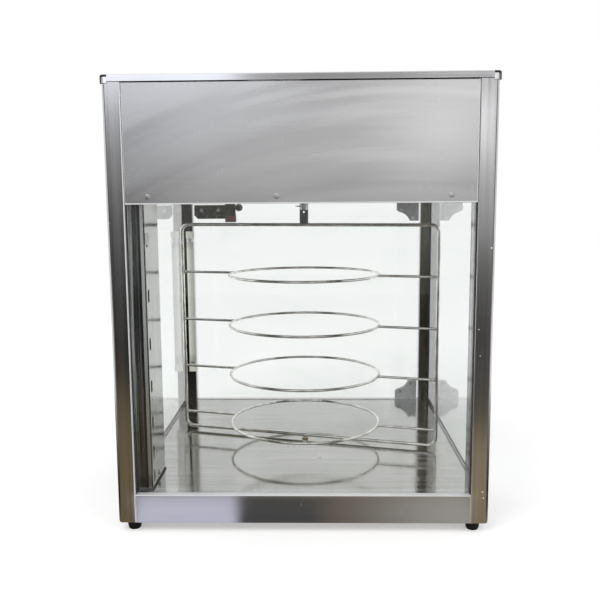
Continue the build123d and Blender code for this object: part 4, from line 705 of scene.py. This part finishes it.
DIAL_START = 225               # degrees at which the scale begins
DIAL_SWEEP = 270
DIAL_STEPS = 10                # numbered steps
DIAL_FINE = 3                  # ticks to a step
TICK_INNER = 0.0222
TICK_LONG = (0.0262, 0.00035)       # outer end and half width of a numbered tick
TICK_SHORT = (0.0245, 0.0002)
TICK_THICK = 0.00008
NUMBER_R = 0.0305
NUMBER_SIZE = 0.0062
NUMBER_EXTRUDE = 0.00004
INK_OFF = 0.00006              # how far the ink lies off the panel


def dial_spot(angle):
    """The direction of an angle on the dial, as it is read from behind the cabinet."""
    return Vector((-math.cos(angle), 0, math.sin(angle)))


def dial_ticks(centre, ink):
    mesh = bmesh.new()
    last = DIAL_STEPS * DIAL_FINE
    for index in range(last + 1):
        angle = math.radians(DIAL_START - index * DIAL_SWEEP / last)
        outer, half = TICK_SHORT if index % DIAL_FINE else TICK_LONG
        out = dial_spot(angle)
        side = Vector((math.sin(angle), 0, math.cos(angle)))
        corners = (out * TICK_INNER - side * half, out * outer - side * half,
                   out * outer + side * half, out * TICK_INNER + side * half)
        mesh.faces.new([mesh.verts.new(centre + corner) for corner in corners])
    face_outwards(mesh)
    solid = bmesh.ops.extrude_face_region(mesh, geom=list(mesh.faces))
    raised = [v for v in solid["geom"] if isinstance(v, bmesh.types.BMVert)]
    bmesh.ops.translate(mesh, verts=raised, vec=Vector((0, TICK_THICK, 0)))
    bmesh.ops.recalc_face_normals(mesh, faces=mesh.faces)
    mesh_piece("thermostat_scale", mesh, ink, "cabinet")


def dial_number(index, centre, ink):
    angle = math.radians(DIAL_START - index * DIAL_SWEEP / DIAL_STEPS)
    text = bpy.data.curves.new(f"scale_number_{index}", "FONT")
    text.body = str(index)
    text.size = NUMBER_SIZE
    text.extrude = NUMBER_EXTRUDE
    text.align_x = "CENTER"
    text.align_y = "CENTER"
    text.materials.append(ink)
    number = bpy.data.objects.new(f"scale_number_{index}", text)
    bpy.context.scene.collection.objects.link(number)
    upright = Matrix.Rotation(math.pi, 4, "Z") @ Matrix.Rotation(math.pi / 2, 4, "X")
    number.matrix_world = Matrix.Translation(centre + dial_spot(angle) * NUMBER_R) @ upright
    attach(number, "cabinet")


def dial_scale():
    """A ring of ticks and plain numbers round the thermostat's knob, printed on the rear panel."""
    low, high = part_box("thermostat_knob")
    panel_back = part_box("rear_control_panel")[1].y
    centre = Vector(((low.x + high.x) / 2, panel_back + INK_OFF, (low.z + high.z) / 2))
    ink = moulded("scale_ink", (0.02, 0.02, 0.02), 0.5)
    dial_ticks(centre, ink)
    for index in range(DIAL_STEPS + 1):
        dial_number(index, centre, ink)


ROCKER_PIVOT_Y = 0.2970
ROCKER_LEAN = math.radians(7)
ROCKER_FACE = 0.0036           # from the pivot to the middle of the key's face
ROCKER_SLOPE = 0.0016 / 0.0116      # how the face rises towards each end
MARK_OFF = 0.00006
BAR_HALF = 0.0004
BAR_FROM, BAR_TO = -0.0085, -0.0045
RING_UP = 0.0068
RING_INNER, RING_OUTER = 0.0013, 0.0020
RING_SIDES = 28


def rocker_marks(node):
    """The usual line and ring on the two ends of a rocker, filled with white."""
    low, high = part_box(node)
    white = moulded(f"{node}_white", (0.75, 0.75, 0.73), 0.5, dust=0.0)
    mesh = bmesh.new()
    pivot = Vector(((low.x + high.x) / 2, ROCKER_PIVOT_Y, (low.z + high.z) / 2))
    lean = Matrix.Rotation(-ROCKER_LEAN, 4, "X")

    def on_key(across, up):
        slope = ROCKER_FACE + abs(up) * ROCKER_SLOPE + MARK_OFF
        return mesh.verts.new(pivot + lean @ Vector((across, slope, up)))

    mesh.faces.new([on_key(-BAR_HALF, BAR_FROM), on_key(BAR_HALF, BAR_FROM),
                    on_key(BAR_HALF, BAR_TO), on_key(-BAR_HALF, BAR_TO)])
    rings = []
    for radius in (RING_INNER, RING_OUTER):
        angles = [math.tau * s / RING_SIDES for s in range(RING_SIDES)]
        rings.append([on_key(radius * math.cos(a), RING_UP + radius * math.sin(a)) for a in angles])
    band_faces(mesh, *rings)
    face_outwards(mesh)
    mesh_piece(f"{node}_marks", mesh, white, node)


BLANK_SIZE = Vector((0.0011, 0.019, 0.018))
BLANK_PROUD = 0.0003
BLANK_BACK = 0.013             # from the duct's front to the blank's middle
BLANK_MIDDLE = 0.4518          # its height, towards the top slot's upper end
BLANK_BEVEL = 0.0003


def slot_blank():
    """A white blank clipped into the duct's top slot, which leaves the slot's lower end open."""
    duct_low, duct_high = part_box("air_duct")
    middle = Vector((duct_high.x + BLANK_PROUD, duct_low.y + BLANK_BACK, BLANK_MIDDLE))
    mesh = bmesh.new()
    made = bmesh.ops.create_cube(mesh, size=1.0)
    for vert in made["verts"]:
        vert.co = middle + vert.co * BLANK_SIZE
    bmesh.ops.bevel(mesh, geom=list(mesh.edges), offset=BLANK_BEVEL, segments=2, affect="EDGES")
    white = moulded("blank_white", (0.82, 0.81, 0.76), 0.45)
    mesh_piece("slot_blank", mesh, white, "cabinet")


# A black bead that stands in for the shadow under the duct's foot
SHADOW_BEAD_R = 0.0015
SHADOW_BEAD_RISE = 0.0010
SHADOW_BEAD_OUT = 0.0003


def duct_seal():
    """A bead of black round the foot of the duct, a little uneven: painted shadow for the dark gap
    under the duct.
    """
    duct_low, duct_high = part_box("air_duct")
    post_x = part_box("front_left_post")[1].x
    line = bpy.data.curves.new("duct_seal", "CURVE")
    line.dimensions = "3D"
    line.bevel_depth = SHADOW_BEAD_R
    line.bevel_resolution = 4
    height = duct_low.z + SHADOW_BEAD_RISE
    corners = [(post_x + 0.0012, duct_low.y - SHADOW_BEAD_OUT, height),
               (duct_high.x - 0.0006, duct_low.y - SHADOW_BEAD_OUT, height),
               (duct_high.x + SHADOW_BEAD_OUT, duct_low.y + 0.0006, height),
               (duct_high.x + SHADOW_BEAD_OUT, duct_high.y, height)]
    spline = line.splines.new("POLY")
    spline.points.add(len(corners) - 1)
    for point, corner in zip(spline.points, corners):
        point.co = (*corner, 1.0)
        point.radius = 1.0 + 0.12 * math.sin(900 * corner[1])
    line.materials.append(gasket)
    bead = bpy.data.objects.new("duct_seal", line)
    bpy.context.scene.collection.objects.link(bead)
    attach(bead, "cabinet")


fascia_dimples()
rack_welds()
slot_blank()
duct_seal()
dial_scale()
rocker_marks("power_rocker")
rocker_marks("lamp_rocker")


# Stage: pale floor, white world, and what the metal reflects from in front


def plane(name, corners, material):
    mesh = bmesh.new()
    mesh.faces.new([mesh.verts.new(corner) for corner in corners])
    data = bpy.data.meshes.new(name)
    mesh.to_mesh(data)
    mesh.free()
    data.materials.append(material)
    made = bpy.data.objects.new(name, data)
    bpy.context.scene.collection.objects.link(made)
    return made


def floor_paint():
    """A pale floor that reads white to the camera, metal and glass, and keeps its shadows."""
    p = Paint("stage_floor")
    path = p.node("LightPath").outputs
    seen = p.most(path["Is Glossy Ray"], path["Is Transmission Ray"], path["Is Camera Ray"])
    matt = p.node("BsdfDiffuse", {"Color": (0.86, 0.86, 0.855)})
    lift = p.node("Emission", {"Color": (1.0, 1.0, 1.0), "Strength": p.product(seen, 0.34)})
    both = p.node("AddShader")
    p.tree.links.new(matt.outputs[0], both.inputs[0])
    p.tree.links.new(lift.outputs[0], both.inputs[1])
    p.tree.links.new(both.outputs[0], p.tree.nodes["Material Output"].inputs["Surface"])
    return p.material


def card_paint(name, color):
    """A soft card that only reflections see."""
    p = Paint(name)
    path = p.node("LightPath").outputs
    reflected = p.math("GREATER_THAN", path["Glossy Depth"], 0.5)
    glow = p.node("Emission", {"Color": color(p)})
    clear = p.node("BsdfTransparent")
    either = p.node("MixShader", {"Fac": reflected})
    p.tree.links.new(clear.outputs[0], either.inputs[1])
    p.tree.links.new(glow.outputs[0], either.inputs[2])
    p.tree.links.new(either.outputs[0], p.tree.nodes["Material Output"].inputs["Surface"])
    p.material.cycles.emission_sampling = "NONE"
    return p.material


# The room's three stretches of wall: the heights between which a wall lightens, and its colours
# at those heights; then where one stretch gives way to the next
WALL_LEFT = ((0.24, 0.95), (0.03, 0.03, 0.028), (0.41, 0.41, 0.41))
WALL_MIDDLE = ((0.35, 1.0), (0.50, 0.50, 0.49), (0.92, 0.92, 0.92))
WALL_RIGHT = ((0.10, 0.95), (0.13, 0.13, 0.12), (1.02, 1.02, 1.03))
LEFT_TO_MIDDLE = (-1.00, -0.62)
MIDDLE_TO_RIGHT = (0.30, 0.95)
# What stands out on the wall: its ends and softness across, the same upwards, and its colour
ROOM_PATCHES = (((0.52, 0.83, 0.11), (0.78, 1.07, 0.06), (3.0, 3.0, 3.0)),
                ((-0.38, 0.98, 0.10), (1.09, 1.28, 0.03), (0.27, 0.27, 0.27)),
                ((-1.9, -0.40, 0.05), (1.05, 3.4, 0.05), (1.40, 1.44, 1.56)))


def room_color(p):
    """The room in front of the cabinet: walls that darken towards the foot, a lit patch, a dark
    band above it and a window."""
    x, _, z = p.axes()
    left, middle, right = [p.mix(p.spread(z, *heights, smooth=False), foot, top)
                           for heights, foot, top in (WALL_LEFT, WALL_MIDDLE, WALL_RIGHT)]
    color = p.mix(p.spread(x, *LEFT_TO_MIDDLE), left, middle)
    color = p.mix(p.spread(x, *MIDDLE_TO_RIGHT), color, right)
    for across, up, light in ROOM_PATCHES:
        color = p.mix(p.product(p.between(x, *across), p.between(z, *up)), color, light)
    dark = p.most(p.spread(x, -2.0, -2.4), p.spread(x, 1.7, 2.3))
    return p.mix(dark, color, (0.10, 0.105, 0.095))


# The ground's distances from the front at which it darkens, and how the dark flanks begin
GROUND_LEFT = ((0.45, 1.3), (0.19, 0.145, 0.085), (0.034, 0.032, 0.030))
GROUND_RIGHT = ((0.28, 0.76), (0.36, 0.29, 0.19), (0.092, 0.087, 0.075))
FLANK = ((0.42, 0.95), (0.02, 0.02, 0.018), (0.42, 0.42, 0.41))
GROUND_START_Y = -0.32
FLANK_SLANT = 0.45
FLANK_EDGE = (0.305, 0.36)


def ground_color(p):
    """The ground that the lower metal mirrors: brown close by, nearly black further off."""
    x, y, _ = p.axes()
    away = p.math("SUBTRACT", GROUND_START_Y, y)
    across = p.math("ABSOLUTE", x)
    left, right, flank = [p.mix(p.spread(value, *reach), near, far) for value, (reach, near, far)
                          in ((away, GROUND_LEFT), (away, GROUND_RIGHT), (across, FLANK))]
    color = p.mix(p.spread(x, -0.4, 0.4), left, right)
    beside = p.math("SUBTRACT", across, p.product(away, FLANK_SLANT))
    return p.mix(p.spread(beside, *FLANK_EDGE), color, flank)


MIRROR_EYE = Vector((CAMERA_AT.x, 2 * cad_front - CAMERA_AT.y))
NEAR_LIGHT = (0.79, 0.79, 0.88)
NEAR_DARK = (0.105, 0.105, 0.108)
NEAR_BROWN = (0.20, 0.17, 0.14)
NEAR_PALE = (0.55, 0.53, 0.50)


def near_color(p):
    """Just in front of the base rail, by the place on the rail that mirrors it to the camera."""
    x, y, _ = p.axes()
    reach = p.math("DIVIDE", MIRROR_EYE.y - cad_front, p.math("SUBTRACT", MIRROR_EYE.y, y))
    across = p.product(p.math("SUBTRACT", x, MIRROR_EYE.x), reach)
    face = p.math("ADD", across, MIRROR_EYE.x)
    right = p.mix(p.spread(face, 0.02, 0.25), NEAR_BROWN, NEAR_PALE)
    dark = p.mix(p.spread(face, 0.0, 0.06), NEAR_DARK, right)
    return p.mix(p.spread(face, -0.112, -0.088), NEAR_LIGHT, dark)


def mirrored(x, y):
    """Where the ray from the mirrored camera through x on the rail's face meets depth y."""
    along = (MIRROR_EYE.y - y) / (MIRROR_EYE.y - cad_front)
    return (MIRROR_EYE.x + (x - MIRROR_EYE.x) * along, y, 2 * CARD_Z)


FLOOR_HALF = 12.0
CARD_Z = 0.0006
ROOM_Y = -3.2
ROOM_HALF = 4.2
ROOM_TOP = 3.2
CARD_Y = -0.30                 # where the cards on the ground begin, under the cabinet's front
GROUND_HALF = 0.27
SIDE_START = 0.275
SIDE_REACH = 1.05
SIDE_Y = (-0.62, 0.40)
NEAR_Y = (-0.468, -0.345)

plane("stage_floor", [(-FLOOR_HALF, -FLOOR_HALF, 0), (FLOOR_HALF, -FLOOR_HALF, 0),
                      (FLOOR_HALF, FLOOR_HALF, 0), (-FLOOR_HALF, FLOOR_HALF, 0)], floor_paint())
ground_paint = card_paint("ground_card", ground_color)
plane("ground_card", [(-GROUND_HALF, CARD_Y, CARD_Z), (-SIDE_REACH, SIDE_Y[0], CARD_Z),
                      (-ROOM_HALF, ROOM_Y, CARD_Z), (ROOM_HALF, ROOM_Y, CARD_Z),
                      (SIDE_REACH, SIDE_Y[0], CARD_Z), (GROUND_HALF, CARD_Y, CARD_Z)], ground_paint)
for side in (-1, 1):
    near, far = side * SIDE_START, side * SIDE_REACH
    plane(f"side_card_{side + 2}", [(near, CARD_Y, CARD_Z), (far, SIDE_Y[0], CARD_Z),
                                    (far, SIDE_Y[1], CARD_Z), (near, SIDE_Y[1], CARD_Z)],
          ground_paint)
rail_low, rail_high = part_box("base_rail_front")
plane("near_card", [mirrored(rail_low.x, NEAR_Y[0]), mirrored(rail_high.x, NEAR_Y[0]),
                    mirrored(rail_high.x, NEAR_Y[1]), mirrored(rail_low.x, NEAR_Y[1])],
      card_paint("near_card", near_color))
plane("room_card", [(-ROOM_HALF, ROOM_Y, 0.0), (ROOM_HALF, ROOM_Y, 0.0),
                    (ROOM_HALF, ROOM_Y, ROOM_TOP), (-ROOM_HALF, ROOM_Y, ROOM_TOP)],
      card_paint("room_card", room_color))

WORLD_LEVEL = 0.78             # on the object; camera, metal and glass see plain white
world = bpy.data.worlds.new("studio")
bpy.context.scene.world = world
world.use_nodes = True
world_tree = world.node_tree
background = world_tree.nodes["Background"]
background.inputs["Color"].default_value = (1.0, 1.0, 1.0, 1.0)
path = world_tree.nodes.new("ShaderNodeLightPath").outputs


def either_ray(first, second):
    """1 for either of two kinds of ray."""
    made = world_tree.nodes.new("ShaderNodeMath")
    made.operation = "ADD"
    made.use_clamp = True
    world_tree.links.new(first, made.inputs[0])
    world_tree.links.new(second, made.inputs[1])
    return made.outputs[0]


shiny = either_ray(path["Is Glossy Ray"], path["Is Transmission Ray"])
level = world_tree.nodes.new("ShaderNodeMapRange")
level.inputs["To Min"].default_value = WORLD_LEVEL
level.inputs["To Max"].default_value = 1.0
world_tree.links.new(either_ray(path["Is Camera Ray"], shiny), level.inputs["Value"])
world_tree.links.new(level.outputs["Result"], background.inputs["Strength"])

LAMP_AIM = Vector((0, 0, 0.35))


def softbox(name, at, size, power):
    data = bpy.data.lights.new(name, "AREA")
    data.shape = "SQUARE"
    data.size = size
    data.energy = power
    made = bpy.data.objects.new(name, data)
    bpy.context.scene.collection.objects.link(made)
    made.location = at
    made.rotation_euler = (LAMP_AIM - Vector(at)).to_track_quat("-Z", "Y").to_euler()
    made.visible_glossy = False
    made.visible_camera = False
    made.visible_transmission = False
    return made


softbox("key", (-1.6, -2.2, 2.6), size=1.8, power=32)
softbox("fill", (2.2, -1.4, 1.6), size=1.6, power=12)

camera_data = bpy.data.cameras.new("camera")
camera_data.lens = CAMERA_LENS
camera_data.sensor_width = CAMERA_SENSOR
camera = bpy.data.objects.new("camera", camera_data)
bpy.context.scene.collection.objects.link(camera)
forward = Vector((math.sin(CAMERA_YAW) * math.cos(CAMERA_PITCH),
                  math.cos(CAMERA_YAW) * math.cos(CAMERA_PITCH), -math.sin(CAMERA_PITCH)))
level_right = Vector((math.cos(CAMERA_YAW), -math.sin(CAMERA_YAW), 0.0))
level_up = level_right.cross(forward)
right = math.cos(CAMERA_ROLL) * level_right + math.sin(CAMERA_ROLL) * level_up
up = -math.sin(CAMERA_ROLL) * level_right + math.cos(CAMERA_ROLL) * level_up
turned = Matrix((right, up, -forward)).transposed().to_4x4()
camera.matrix_world = Matrix.Translation(CAMERA_AT) @ turned
bpy.context.scene.camera = camera
bpy.context.scene.view_settings.view_transform = "Standard"
